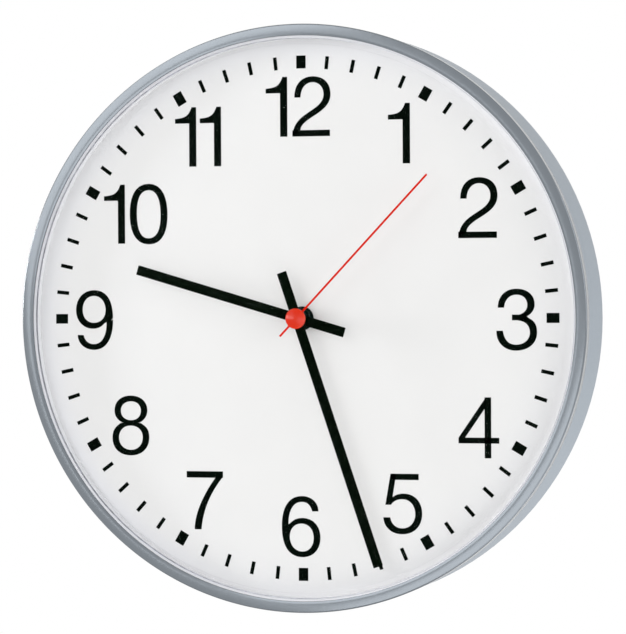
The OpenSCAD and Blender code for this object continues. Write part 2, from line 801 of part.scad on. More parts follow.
// Rubber grommet of the cable entry, gripping the back plate in its groove
module cable_grommet() {
    neck = cable_r + grommet_neck;
    lip = neck + grommet_lip;
    color("black") stand() translate([0, -cable_low, 0]) rotate_extrude()
        polygon([[cable_r, back_z - grommet_lip_t], [lip - grommet_chamfer, back_z - grommet_lip_t],
                 [lip, back_z - grommet_lip_t + grommet_chamfer], [lip, back_z], [neck, back_z],
                 [neck, back_front_z], [lip, back_front_z],
                 [lip, back_front_z + grommet_lip_t - grommet_chamfer],
                 [lip - grommet_chamfer, back_front_z + grommet_lip_t],
                 [cable_r, back_front_z + grommet_lip_t]]);
}

// Two pole terminal block with lugs, screw wells and wire entries
module terminal_block() {
    color("ivory") stand() difference() {
        union() {
            translate([block_x - block_half_w, block_y - block_half_h, back_front_z])
                cube([2 * block_half_w, 2 * block_half_h, block_h]);
            translate([block_x - block_half_w - block_lug, block_y - block_half_h / 2, back_front_z])
                cube([2 * (block_half_w + block_lug), block_half_h, lug_t]);
        }
        for (x = pole_xs) {
            disc([x, block_y], pole_r + fit, back_front_z + block_h - pole_well, back_front_z + block_h + past);
            translate([x, block_y - block_half_h - past, back_front_z + wire_z])
                rotate([-90, 0, 0]) cylinder(r = wire_hole_r, h = block_half_h + past);
        }
        for (y = [-1, 1])
            translate([block_x - rib_w / 2, block_y + y * block_half_h - rib_w, back_front_z + lug_t])
                cube([rib_w, 2 * rib_w, block_h]);
        for (s = [-1, 1])
            disc([block_x + s * (block_half_w + block_lug / 2), block_y], screw_r + screw_clear,
                 back_front_z - past, back_front_z + lug_t + past, small_fn);
    }
}

// Clamp screws in the block and the two screws that hold it down
module terminal_screws() {
    color("goldenrod") stand() {
        for (x = pole_xs)
            pan_screw([x, block_y], back_front_z + block_h - pole_well + clamp_shank_l,
                      clamp_shank_r, clamp_shank_l, pole_r, clamp_t);
        for (s = [-1, 1])
            pan_screw([block_x + s * (block_half_w + block_lug / 2), block_y], back_front_z + lug_t,
                      screw_r, lug_t + back_t, screw_head_r, screw_head_t);
    }
}

// Full outline of the front and rear plates, with what every plate has
module frame_plate(z) {
    exact_plate(pillar_left - plate_edge, pillar_low - plate_edge, pillar_right + plate_edge,
                pillar_high + plate_edge, plate_corner, z, plate_t);
}

// Front plate: carries the bushing, the pillars' tenons, the stud and the front pivots
module front_plate() {
    color("burlywood") stand() difference() {
        frame_plate(front_z);
        disc([0, 0], bushing_r + fit, front_z - past, flange_z + past);
        for (p = pillar_spots) disc(p, tenon_r + fit, front_z - past, flange_z + past, small_fn);
        disc(motion_at, arbor_r + fit, front_z - past, flange_z + past, small_fn);
        for (p = [third_at, setting_at])
            disc(p, pivot_r + run_play, front_z - past, front_z + pivot_l + pivot_room, small_fn);
    }
}

// Middle plate: bridge that rests on the pillars' collars
module middle_plate() {
    color("burlywood") stand() difference() {
        exact_plate(pillar_left - plate_edge, mid_low, pillar_right + plate_edge,
                    pillar_high + plate_edge, plate_corner, mid_z, mid_plate_t);
        disc([0, 0], second_arbor_r + run_play, mid_z - past, mid_top + past, small_fn);
        for (p = [third_at, inter_at, rotor_at])
            disc(p, pivot_r + run_play, mid_z - past, mid_top + past, small_fn);
        for (p = pillar_spots)
            if (p[1] > mid_low) disc(p, pillar_r + fit, mid_z - past, mid_top + past);
    }
}

// Rear plate: rear pivots, setting arbor and pillar screws
module rear_plate() {
    color("burlywood") stand() difference() {
        frame_plate(rear_z);
        disc([0, 0], second_arbor_r + run_play, rear_z - past, rear_top + past, small_fn);
        for (p = [inter_at, rotor_at])
            disc(p, pivot_r + run_play, rear_z - past, rear_top + past, small_fn);
        disc(setting_at, arbor_r + run_play, rear_z - past, rear_top + past, small_fn);
        for (p = pillar_spots) disc(p, pillar_screw_r + fit, rear_z - past, rear_top + past, small_fn);
    }
}

// Turned pillars: tenon in front, collar for the middle plate, threaded hole behind
module pillars() {
    color("khaki") stand()
        for (p = pillar_spots)
            difference() {
                union() {
                    disc(p, pillar_r, rear_top, front_z);
                    disc(p, tenon_r, front_z - past, flange_z, small_fn);
                    if (p[1] > mid_low) disc(p, collar_r, mid_z - collar_t, mid_z);
                }
                disc(p, pillar_screw_r + fit, rear_top - past, rear_top + pillar_screw_l, small_fn);
            }
}

// Screws through the rear plate into the pillars
module movement_screws() {
    color("gainsboro") stand()
        for (p = pillar_spots)
            pan_screw(p, rear_z, pillar_screw_r, pillar_screw_l, pillar_head_r, pillar_head_t, false);
}

// Threaded bushing: flange behind the dial, tube through the front plate and the dial
module fixing_bushing() {
    bore = hour_tube_r + run_play;
    flange_r = bushing_r + bushing_flange_w;
    tip = 0.3;
    color("khaki") stand() rotate_extrude()
        polygon([[bore, front_z], [bushing_r, front_z], [bushing_r, flange_z], [flange_r, flange_z],
                 [flange_r, seal_z], [bushing_r, seal_z], [bushing_r, bushing_top_z - tip],
                 [bushing_r - tip, bushing_top_z], [bore, bushing_top_z]]);
}

// Rubber washer between the flange and the dial
module seal_washer() {
    color("black") stand() ring(bushing_r + seal_w, bushing_r + screw_clear, seal_z, dial_z);
}

// Black fixing nut: round flange and a six-sided body with a chamfered top
module fixing_nut() {
    flange_step = 0.4;
    chamfer_w = 0.7;
    chamfer_h = 0.5;
    hex_r = nut_flange_d / 2 - flange_step;
    color("black") stand() difference() {
        union() {
            disc([0, 0], nut_flange_d / 2, dial_h, dial_h + nut_flange_t);
            intersection() {
                translate([0, 0, dial_h]) cylinder(r = hex_r, h = nut_h, $fn = 6);
                translate([0, 0, dial_h]) rotate_extrude()
                    polygon([[0, 0], [hex_r, 0], [hex_r, nut_h - chamfer_h],
                             [hex_r - chamfer_w, nut_h], [0, nut_h]]);
            }
        }
        disc([0, 0], bushing_r + fit, dial_h - past, nut_top_z + past);
    }
}

// Fixed stud that the motion wheel turns on, with a head that keeps the wheel on
module motion_stud() {
    head_t = 0.5;
    head_w = 0.7;
    head_z = motion_wheel_z - end_play - head_t;
    color("silver") stand() {
        disc(motion_at, arbor_r, head_z, flange_z, small_fn);
        disc(motion_at, arbor_r + head_w, head_z, head_z + head_t, small_fn);
    }
}

// Stator: pole piece around the rotor, with two legs down to the coil core
module stator() {
    x0 = rotor_at[0] - stator_half;
    window_top = rotor_at[1] - pole_top;
    notch_r = 0.5;
    color("gray") stand() difference() {
        translate([x0, coil_y - leg_low, stator_z])
            cube([2 * stator_half, rotor_at[1] + pole_top - coil_y + leg_low, stator_t]);
        translate([x0 + leg_w, coil_y - leg_low - past, stator_z - past])
            cube([2 * (stator_half - leg_w), window_top - coil_y + leg_low + past, stator_t + 2 * past]);
        disc(rotor_at, magnet_r + air_gap, stator_z - past, stator_z + stator_t + past);
        for (s = [-1, 1])
            disc(rotor_at + [0, s * (magnet_r + air_gap)], notch_r,
                 stator_z - past, stator_z + stator_t + past, small_fn);
        for (p = post_spots) disc(p, post_screw_r + fit, stator_z - past, stator_z + stator_t + past, small_fn);
    }
}

// Posts that hold the stator off the rear plate
module stator_posts() {
    color("khaki") stand()
        for (p = post_spots)
            difference() {
                disc(p, post_r, rear_top, stator_z, small_fn);
                disc(p, post_screw_r + fit, stator_z - post_screw_l, stator_z + past, small_fn);
            }
}

// Coil core: flat bar across the stator's legs
module coil_core() {
    color("gray") stand() difference() {
        translate([rotor_at[0] - stator_half, coil_y - core_h / 2, core_z])
            cube([2 * stator_half, core_h, stator_t]);
        for (p = post_spots) disc(p, post_screw_r + fit, core_z - past, core_z + stator_t + past, small_fn);
    }
}

// Coil bobbin: square tube around the core with a round flange at each end
module coil_bobbin() {
    hole_h = core_h + 2 * fit;
    hole_t = stator_t + 2 * fit;
    color("ivory") stand() difference() {
        union() {
            for (x = [coil_left, coil_right - coil_flange_t])
                translate([x, coil_y, coil_z]) rotate([0, 90, 0]) cylinder(r = coil_r, h = coil_flange_t);
            translate([coil_left, coil_y - hole_h / 2 - tube_wall, coil_z - hole_t / 2 - tube_wall])
                cube([coil_right - coil_left, hole_h + 2 * tube_wall, hole_t + 2 * tube_wall]);
        }
        translate([coil_left - past, coil_y - hole_h / 2, coil_z - hole_t / 2])
            cube([coil_right - coil_left + 2 * past, hole_h, hole_t]);
    }
}

// Copper winding between the bobbin's flanges
module coil_winding() {
    below_flange = 0.4;
    side_h = core_h + 2 * tube_wall + 4 * fit;
    side_t = stator_t + 2 * tube_wall + 4 * fit;
    x0 = coil_left + coil_flange_t + fit;
    length = coil_right - coil_left - 2 * coil_flange_t - 2 * fit;
    color("chocolate") stand() difference() {
        translate([x0, coil_y, coil_z]) rotate([0, 90, 0]) cylinder(r = coil_r - below_flange, h = length);
        translate([x0 - past, coil_y - side_h / 2, coil_z - side_t / 2])
            cube([length + 2 * past, side_h, side_t]);
    }
}

// Screws through the core and the stator into the posts
module stator_screws() {
    color("gainsboro") stand()
        for (p = post_spots)
            pan_screw(p, core_z + stator_t, post_screw_r, post_screw_l, post_screw_head_r, post_screw_head_t);
}

// Small circuit board on two feet above the rear plate
module circuit_board() {
    color("darkgreen") stand() {
        translate([board_left, board_low, board_z]) cube([board_w, board_l, board_t]);
        for (x = [board_left + foot_in, board_right - foot_in])
            disc([x, (board_low + board_top) / 2], foot_r, rear_top, board_z, small_fn);
    }
}

// Solder pins, a suppressor and a resistor on the board
module board_components() {
    color("dimgray") stand() {
        for (x = pin_xs) disc([x, pin_y], pin_r, board_front, board_front + pin_h, small_fn);
        for (y = body_ys)
            translate([body_x, y, board_front + body_r]) rotate([0, 90, 0])
                cylinder(r = body_r, h = body_l, $fn = small_fn);
        translate([chip_at[0], chip_at[1], board_front]) cube(chip_size);
    }
}

// Route of one inner lead, from the terminal block over the rear plate's edge to its solder pin
function lead_route(i) =
    let (x0 = pole_xs[i] - lead_side, x1 = pin_xs[i], y0 = block_y + block_half_h, y1 = pin_y - pin_r)
    [for (s = [0 : 20])
        let (t = s / 20, e = t * t * (3 - 2 * t), w = sin(180 * t))
        [x0 + (x1 - x0) * e, y0 + (y1 - y0) * t,
         back_front_z + lead_rise + (board_front + lead_pin - back_front_z - lead_rise) * e
             + lead_arch * w * t]];

// Tube of eight sides carried along a route that runs mostly up the dial
module swept_tube(route, r) {
    sides = 8;
    n = len(route);
    points = [for (p = route, k = [0 : sides - 1])
        [p[0] + r * cos(k * 360 / sides), p[1], p[2] + r * sin(k * 360 / sides)]];
    walls = [for (i = [0 : n - 2], k = [0 : sides - 1])
        let (a = i * sides + k, b = i * sides + (k + 1) % sides)
        [a, a + sides, b + sides, b]];
    ends = [[for (k = [0 : sides - 1]) k], [for (k = [sides - 1 : -1 : 0]) (n - 1) * sides + k]];
    polyhedron(points, concat(walls, ends), convexity = 4);
}

// Two insulated leads from the terminal block to the board
module lead_wires() {
    color("firebrick") stand()
        for (i = [0 : 1]) swept_tube(lead_route(i), lead_r);
}

// Rotor magnet on its arbor
module rotor_magnet() {
    color("dimgray") stand() translate([rotor_at[0], rotor_at[1], 0])
        ring(magnet_r, arbor_r + fit, magnet_z, magnet_top);
}

// Rotor arbor with its pinion
module rotor_arbor() {
    color("silver") stand() {
        arbor(rotor_at, rear_top + end_play, mid_z - end_play);
        pinion(rotor_at, rotor_teeth, rotor_module, rotor_turn,
               inter_wheel_z - pinion_over, inter_wheel_z + wheel_t + pinion_over);
    }
}

// Intermediate wheel, driven by the rotor
module intermediate_wheel() {
    color("gold") stand()
        spoked_wheel(inter_at, inter_wheel_teeth, rotor_module, inter_wheel_turn, inter_wheel_z,
                     arbor_r + fit);
}

// Intermediate arbor with its pinion
module intermediate_arbor() {
    color("silver") stand() {
        arbor(inter_at, rear_top + end_play, mid_z - end_play);
        pinion(inter_at, inter_pinion_teeth, second_module, inter_pinion_turn,
               inter_wheel_z + wheel_t + fit, inter_pinion_top);
    }
}

// Seconds wheel on the second arbor
module seconds_wheel() {
    color("gold") stand() {
        spoked_wheel([0, 0], second_wheel_teeth, second_module, second_wheel_turn, second_wheel_z,
                     second_arbor_r + fit);
        ring(second_arbor_r + fit + boss_wall, second_arbor_r + fit,
             second_wheel_z + wheel_t, second_wheel_z + wheel_t + second_boss_l);
    }
}

// Second arbor: carries the seconds wheel, the pinion for the third wheel and the second hand
module seconds_arbor() {
    color("silver") stand() {
        disc([0, 0], second_arbor_r, rear_z + end_play, cap_z + arbor_in_cap);
        pinion([0, 0], second_pinion_teeth, third_module, second_pinion_turn,
               second_pinion_z, second_pinion_top);
    }
}

// Red second hand
module second_hand() {
    color("red") stand()
        hand(second_angle, second_reach, second_tail, second_w, second_t, second_hand_z,
             second_hub_r, second_arbor_r + fit);
}

// Red turned cap in front of the hands
module hub_cap() {
    r = cap_d / 2;
    back_edge = 0.1;
    front_edge = 0.2;
    color("red") stand() rotate_extrude()
        polygon([[second_arbor_r + fit, cap_z], [r - back_edge, cap_z], [r, cap_z + back_edge],
                 [r, cap_z + cap_t - front_edge], [r - front_edge, cap_z + cap_t], [0, cap_z + cap_t],
                 [0, cap_z + arbor_in_cap + fit], [second_arbor_r + fit, cap_z + arbor_in_cap + fit]]);
}

// Third wheel, driven by the second pinion
module third_wheel() {
    color("gold") stand()
        spoked_wheel(third_at, third_wheel_teeth, third_module, third_wheel_turn, third_wheel_z,
                     arbor_r + fit, 5);
}

// Third arbor with the pinion that drives the centre wheel
module third_arbor() {
    color("silver") stand() {
        arbor(third_at, mid_top + end_play, front_z - end_play);
        pinion(third_at, third_pinion_teeth, centre_module, third_pinion_turn,
               third_wheel_z + wheel_t + fit, centre_wheel_z + wheel_t + pinion_over);
    }
}

// Centre wheel, held on the minute tube by friction
module centre_wheel() {
    color("gold") stand()
        spoked_wheel([0, 0], centre_teeth, centre_module, centre_turn, centre_wheel_z,
                     minute_tube_r + fit, 5);
}

// Minute tube with the cannon pinion that drives the hour work
module cannon_pinion() {
    bore = second_arbor_r + run_play;
    color("silver") stand() {
        ring(minute_tube_r, bore, minute_end_z, minute_top_z);
        pinion([0, 0], cannon_teeth, cannon_module, centre_turn, cannon_z, cannon_top, bore);
    }
}

// Black minute hand with its collet
module minute_hand() {
    color("black") stand()
        hand(minute_angle, minute_reach, minute_tail, hand_w, hand_t, minute_hand_z,
             minute_hub_r, minute_tube_r + fit, minute_collet_l);
}

// Motion wheel and its pinion in one piece, turning on the stud
module motion_wheel() {
    bore = arbor_r + run_play;
    color("gold") stand() {
        spoked_wheel(motion_at, motion_wheel_teeth, cannon_module, motion_wheel_turn, motion_wheel_z,
                     bore);
        pinion(motion_at, motion_pinion_teeth, hour_module, motion_pinion_turn,
               motion_wheel_z + wheel_t, front_z - end_play, bore);
    }
}

// Hour wheel on the hour tube
module hour_wheel() {
    bore = minute_tube_r + run_play;
    color("gold") stand() {
        spoked_wheel([0, 0], hour_teeth, hour_module, hour_turn, hour_wheel_z, bore);
        ring(hour_tube_r, bore, hour_end_z, hour_top_z);
        ring(hour_tube_r + boss_wall, bore, hour_wheel_z + wheel_t, hour_wheel_z + wheel_t + hour_boss_l);
    }
}

// Black hour hand with its collet
module hour_hand() {
    color("black") stand()
        hand(hour_angle, hour_reach, hour_tail, hand_w, hand_t, hour_hand_z,
             hour_hub_r, hour_tube_r + fit, hour_hand_z - bushing_top_z - boss_gap);
}

// Setting arbor with the pinion that turns the motion wheel
module setting_arbor() {
    stop_w = 0.8;
    stop_t = 1;
    color("silver") stand() {
        disc(setting_at, arbor_r, knob_back_z + knob_cap_t, front_z - end_play);
        disc(setting_at, pivot_r, front_z - end_play - past, front_z + pivot_l);
        disc(setting_at, arbor_r + stop_w, rear_top + end_play, rear_top + end_play + stop_t);
        pinion(setting_at, setting_teeth, cannon_module, setting_turn,
               motion_wheel_z - pinion_over, motion_wheel_z + wheel_t + pinion_over);
    }
}

// Knurled setting knob, reached through the back plate
module setting_knob() {
    chamfer = 1;
    color("darkslategray") stand() translate([setting_at[0], setting_at[1], 0]) difference() {
        union() {
            translate([0, 0, knob_back_z]) linear_extrude(knob_front_z - knob_back_z - chamfer)
                polygon([for (k = [0 : 2 * knob_grooves - 1])
                    polar(k % 2 == 0 ? knob_r : knob_r - knob_groove, k * 180 / knob_grooves)]);
            translate([0, 0, knob_back_z + chamfer])
                cylinder(r = knob_hub_r, h = knob_front_z + knob_hub_l - knob_back_z - chamfer);
        }
        translate([0, 0, knob_back_z + knob_cap_t - fit]) cylinder(r = arbor_r + fit, h = knob_front_z);
    }
}

casing();
back_plate();
back_plate_screws();
wall_bracket();
bezel();
lens();
lens_gasket();
dial_seat_ring();
dial();
spacer_ring();
minute_marks();
cable_grommet();
terminal_block();
terminal_screws();
front_plate();
middle_plate();
rear_plate();
pillars();
movement_screws();
fixing_bushing();
seal_washer();
fixing_nut();
motion_stud();
stator();
stator_posts();
coil_core();
coil_bobbin();
coil_winding();
stator_screws();
circuit_board();
board_components();
lead_wires();
rotor_magnet();
rotor_arbor();
intermediate_wheel();
intermediate_arbor();
seconds_wheel();
seconds_arbor();
second_hand();
hub_cap();
third_wheel();
third_arbor();
centre_wheel();
cannon_pinion();
minute_hand();
motion_wheel();
hour_wheel();
hour_hand();
setting_arbor();
setting_knob();
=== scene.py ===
"""Round slave clock for a public room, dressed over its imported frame.

A white dial with black figures sits under a clear blown dome. The dome is held by a
grey lacquered bezel on a round steel case, which hangs on a wall bracket. A small
stepping movement turns the hands. Lengths are in millimetres until a mesh is built:
x runs to the right, h stands off the wall towards the viewer and z runs up.
"""

import logging
import math
from collections.abc import Sequence
from dataclasses import dataclass, field
from enum import Enum

import bmesh
import bpy
import numpy as np
from mathutils import Matrix


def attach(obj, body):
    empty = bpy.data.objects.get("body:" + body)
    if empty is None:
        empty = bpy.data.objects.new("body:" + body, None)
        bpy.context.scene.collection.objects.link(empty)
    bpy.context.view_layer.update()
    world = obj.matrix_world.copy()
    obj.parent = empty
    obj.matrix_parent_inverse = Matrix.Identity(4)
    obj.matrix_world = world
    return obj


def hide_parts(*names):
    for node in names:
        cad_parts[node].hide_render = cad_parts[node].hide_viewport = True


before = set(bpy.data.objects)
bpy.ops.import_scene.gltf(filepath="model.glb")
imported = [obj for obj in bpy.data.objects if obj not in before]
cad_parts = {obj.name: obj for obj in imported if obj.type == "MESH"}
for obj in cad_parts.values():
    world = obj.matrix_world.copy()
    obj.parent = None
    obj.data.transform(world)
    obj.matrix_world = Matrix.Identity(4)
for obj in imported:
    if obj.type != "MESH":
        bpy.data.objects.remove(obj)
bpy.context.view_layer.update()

LOG = logging.getLogger("slave_clock")

MM = 0.001
SEAM = 1e-7  # metres within which doubled points are merged
CREASE = 32.0  # degrees of bend above which an edge stays crisp
FINE_TURN = 720  # stops round the bezel, dome and seal, whose rims show every facet
PLAIN_TURN = 96  # stops round the hubs of the hands and round the floor
CURVE_STEPS = 24  # points on each cubic curve before they are spaced evenly
PEN_STEPS = 33  # points along each edge of a pen stroke
DIAL_Z = 34.0  # how far the dial's face stands off the wall

Colour = tuple[float, float, float]
Place = tuple[float, float, float]
Corner = tuple[float, float, float]
Pair = tuple[float, float]
Axes = tuple[np.ndarray, np.ndarray, np.ndarray]
Socket = bpy.types.NodeSocket
Feed = Socket | float | Colour


# Shapes


def rounded(corners: Sequence[Corner], steps: int) -> np.ndarray:
    """Eases each corner of a closed outline with a quadratic curve.

    The curve leaves the side before the corner at the given reach, bends towards the
    corner and joins the side after it at the same reach.

    Args:
        corners: each corner's two measures and the reach of its easing, in order.
        steps: points on each eased corner.

    Returns:
        The outline as an array of points with two measures each.
    """
    table = np.asarray(corners, float)
    at, reach = table[:, :2], table[:, 2:]
    before = np.roll(at, 1, 0) - at
    after = np.roll(at, -1, 0) - at
    before /= np.linalg.norm(before, axis=1, keepdims=True)
    after /= np.linalg.norm(after, axis=1, keepdims=True)
    t = np.linspace(0.0, 1.0, steps)[None, :, None]
    start, end = (at + before * reach)[:, None], (at + after * reach)[:, None]
    return ((1 - t) ** 2 * start + 2 * t * (1 - t) * at[:, None] + t * t * end).reshape(-1, 2)


def arc(middle: Pair, radius: float, start: float, end: float, count: int) -> np.ndarray:
    """Points of a rounding in an outline of (radius, height) points.

    Args:
        middle: the rounding's own centre.
        radius: its radius.
        start: where it starts, in degrees from outward towards the viewer.
        end: where it ends.
        count: points in the result.

    Returns:
        An array of (radius, height) points.
    """
    a = np.radians(np.linspace(start, end, count))
    return np.asarray(middle) + radius * np.stack([np.cos(a), np.sin(a)], -1)


def around(t: np.ndarray, r: np.ndarray, h: np.ndarray) -> np.ndarray:
    """Points at x = r sin t and z = r cos t, which stand off the wall by h."""
    x = r * np.sin(t)
    return np.stack([x, -np.broadcast_to(h, x.shape), r * np.cos(t)], -1)


def turned(outline: np.ndarray, steps: int) -> np.ndarray:
    """Carries an outline round the clock's axis, clockwise from 12 o'clock.

    Args:
        outline: the (radius, height) points.
        steps: even stops of a full turn.

    Returns:
        A grid of points, one row for each stop and one column for each outline point.
    """
    t = np.linspace(0.0, 2 * math.pi, steps, endpoint=False)[:, None]
    return around(t, outline[:, 0], outline[:, 1])


def chain(numbers: Sequence[float]) -> np.ndarray:
    """Points at even shares of the length of a line or of joined cubic curves.

    Two points give a straight line. Otherwise every third point is a knot, and the two
    between knots pull the curve: p = (1-t)^3 a + 3t(1-t)^2 b + 3t^2(1-t) c + t^3 d.

    Args:
        numbers: x and y of each point in turn.

    Returns:
        An array of (x, y) points from the first knot to the last.
    """
    pts = np.asarray(numbers, float).reshape(-1, 2)
    if len(pts) > 2:
        t = np.linspace(0.0, 1.0, CURVE_STEPS)[None, :, None]
        a, b, c, d = (pts[k : len(pts) - 3 + k : 3][:, None] for k in range(4))
        pts = (1 - t) ** 3 * a + 3 * t * (1 - t) ** 2 * b + 3 * t * t * (1 - t) * c + t**3 * d
        pts = pts.reshape(-1, 2)
    along = np.concatenate([[0.0], np.cumsum(np.linalg.norm(np.diff(pts, axis=0), axis=1))])
    at = np.linspace(0.0, along[-1], PEN_STEPS)
    return np.stack([np.interp(at, along, pts[:, k]) for k in range(2)], -1)


def into_scene(name: str, data: bpy.types.ID) -> bpy.types.Object:
    """Makes an object of a mesh, camera or lamp and links it to the scene.

    Args:
        name: the object's name.
        data: what the object shows.

    Returns:
        The new object, at the origin.
    """
    made = bpy.data.objects.new(name, data)
    bpy.context.scene.collection.objects.link(made)
    return made


class Body:
    """Gathers grids of points into one mesh with closed seams and outward faces."""

    def __init__(self, name: str) -> None:
        """Starts without points or faces.

        Args:
            name: the piece's name.
        """
        self.name = name
        self.points: list[np.ndarray] = []
        self.faces: list[np.ndarray] = []
        self.count = 0

    def add(self, grid: np.ndarray, ring_rows: bool = True, ring_cols: bool = True) -> None:
        """Adds a closed skin that runs through a grid of points.

        Quads join each point to its neighbours in the next row and column. Where the
        rows don't close in a ring, the first and last row are drawn to their middle.
        The quads are turned over where the volume that they enclose comes out negative.

        Args:
            grid: the points, rows by columns by three, in millimetres.
            ring_rows: the last row joins the first one.
            ring_cols: the last column joins the first one.
        """
        if not ring_rows:
            first, last = grid[:1].mean(1, keepdims=True), grid[-1:].mean(1, keepdims=True)
            wide = np.ones((1, grid.shape[1], 1))
            grid = np.concatenate([first * wide, grid, last * wide])
        rows, cols = grid.shape[:2]
        i = np.arange(rows if ring_rows else rows - 1)[:, None]
        j = np.arange(cols if ring_cols else cols - 1)[None]
        i2, j2 = (i + 1) % rows, (j + 1) % cols
        quads = np.stack([i * cols + j, i2 * cols + j, i2 * cols + j2, i * cols + j2], -1)
        quads = quads.reshape(-1, 4)
        flat = grid.reshape(-1, 3)
        a, b, c, d = (flat[quads[:, k]] for k in range(4))
        volume = (np.cross(a, b) * c).sum() + (np.cross(a, c) * d).sum()
        if volume < 0:
            quads = quads[:, ::-1]
        self.points.append(flat)
        self.faces.append(quads + self.count)
        self.count += len(flat)

    def mesh(self) -> bpy.types.Mesh:
        """The gathered skins as one mesh with merged seams and smooth faces.

        Returns:
            The mesh in metres, with its place in its points.
        """
        points, faces = np.concatenate(self.points) * MM, np.concatenate(self.faces)
        mesh = bpy.data.meshes.new(self.name)
        mesh.from_pydata(points, [], faces.tolist())
        mesh.validate()
        work = bmesh.new()
        work.from_mesh(mesh)
        bmesh.ops.remove_doubles(work, verts=work.verts, dist=SEAM)
        work.to_mesh(mesh)
        work.free()
        mesh.polygons.foreach_set("use_smooth", np.ones(len(mesh.polygons), bool))
        mesh.set_sharp_from_angle(angle=math.radians(CREASE))
        return mesh

    def build(self, body: str, finish: "Finish", stands_for: Sequence[str] = ()) -> None:
        """Makes the object, dresses it and hangs it on its body.

        Args:
            body: the CAD body that the piece moves with.
            finish: what the piece is painted or made of.
            stands_for: CAD nodes that the piece replaces.
        """
        mesh = self.mesh()
        piece = into_scene(self.name, mesh)
        mesh.materials.append(finish.material())
        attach(piece, body)
        if stands_for:
            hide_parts(*stands_for)
        LOG.info("built %s: %d faces on %s", self.name, len(mesh.polygons), body)


# Node groups and finishes


class Graph:
    """Places and wires the nodes of one material, world or group."""

    def __init__(self, tree: bpy.types.NodeTree) -> None:
        """Keeps the node tree that is being drawn up."""
        self.tree = tree

    def node(self, kind: str, inputs: dict | None = None, **settings: object) -> bpy.types.Node:
        """Adds a node, sets it up and fills or wires its inputs.

        Args:
            kind: the node's class name without its ShaderNode prefix.
            inputs: values, or sockets to wire from, by input name or number.
            settings: properties of the node itself.

        Returns:
            The new node.
        """
        made = self.tree.nodes.new(kind if kind.startswith("NodeGroup") else "ShaderNode" + kind)
        for name, value in settings.items():
            setattr(made, name, value)
        for name, value in (inputs or {}).items():
            if isinstance(value, Socket):
                self.tree.links.new(value, made.inputs[name])
            else:
                made.inputs[name].default_value = value
        return made

    def sum(self, operation: str, *terms: Feed, clamp: bool = False) -> Socket:
        """One step of arithmetic on numbers or sockets, and its result."""
        fill = dict(enumerate(terms))
        return self.node("Math", fill, operation=operation, use_clamp=clamp).outputs[0]

    def span(self, value: Socket, ends: Pair, low: float = 0.0, high: float = 1.0) -> Socket:
        """Stretches the range between two ends onto low to high, and holds it beyond."""
        fill = {0: value, 1: ends[0], 2: ends[1], 3: low, 4: high}
        return self.node("MapRange", fill).outputs[0]

    def spread(self, mask: Socket, low: float = 0.0, high: float = 1.0) -> Socket:
        """Stretches the range where most of a mask lies onto low to high."""
        return self.span(mask, (0.3, 0.7), low, high)

    def blend(self, share: Socket, first: Feed, second: Feed) -> Socket:
        """Mixes two colours by a share.

        Args:
            share: how much of the second colour there is.
            first: the colour at share 0, as a socket or a plain colour.
            second: the colour at share 1.

        Returns:
            The socket of the mixed colour.
        """
        made = self.node("Mix", {"Factor": share}, data_type="RGBA")
        for socket, value in ((made.inputs[6], first), (made.inputs[7], second)):
            if isinstance(value, Socket):
                self.tree.links.new(value, socket)
            else:
                socket.default_value = (*value, 1.0)
        return made.outputs[2]

    def noise(self, at: Socket, size: Feed, detail: float, **more: float) -> Socket:
        """Noise whose blots are about size across, with more inputs of its node if given."""
        fill = {"Vector": at, "Scale": self.sum("DIVIDE", 1.0, size), "Detail": detail}
        return self.node("TexNoise", fill | more).outputs[0]

    def radius(self, at: Socket) -> Socket:
        """Distance from the axis off the wall, the root of x squared plus z squared.

        Args:
            at: the place that is measured.

        Returns:
            The socket of the distance.
        """
        part = self.node("SeparateXYZ", {0: at}).outputs
        x, z = (self.sum("POWER", part[k], 2.0) for k in (0, 2))
        return self.sum("SQRT", self.sum("ADD", x, z))

    def bump(self, height: Socket, depth: float) -> Socket:
        """The normal of a surface whose pattern stands up by a depth in millimetres."""
        fill = {"Strength": 1.0, "Distance": depth * MM, "Height": height}
        return self.node("Bump", fill).outputs[0]

    def rays(self, *kinds: str) -> Socket:
        """Tells rays of some kinds from the others.

        Args:
            kinds: names of kinds of ray, such as Shadow or Glossy.

        Returns:
            A socket that is 1 for rays of these kinds and else 0.
        """
        ray = self.node("LightPath").outputs
        found = ray[f"Is {kinds[0]} Ray"]
        for kind in kinds[1:]:
            found = self.sum("MAXIMUM", found, ray[f"Is {kind} Ray"])
        return found

    def mixed(self, share: Socket, first: bpy.types.Node, second: bpy.types.Node) -> bpy.types.Node:
        """A shader that goes from the first to the second one by a share."""
        return self.node("MixShader", {0: share, 1: first.outputs[0], 2: second.outputs[0]})


def blank_graph(owner: bpy.types.Material | bpy.types.World) -> Graph:
    """Clears the nodes of a material or world.

    Args:
        owner: the material or world.

    Returns:
        The graph that draws its new nodes.
    """
    owner.use_nodes = True
    owner.node_tree.nodes.clear()
    return Graph(owner.node_tree)


class Effect(Enum):
    """Effects that several finishes share, each drawn once as a node group."""

    DRIFT = "tone drift"
    GRAIN = "fine grain"
    RINGS = "turned rings"
    BRUSH = "brushed lines"
    DUST = "settled dust"
    FLAKE = "lacquer flakes"


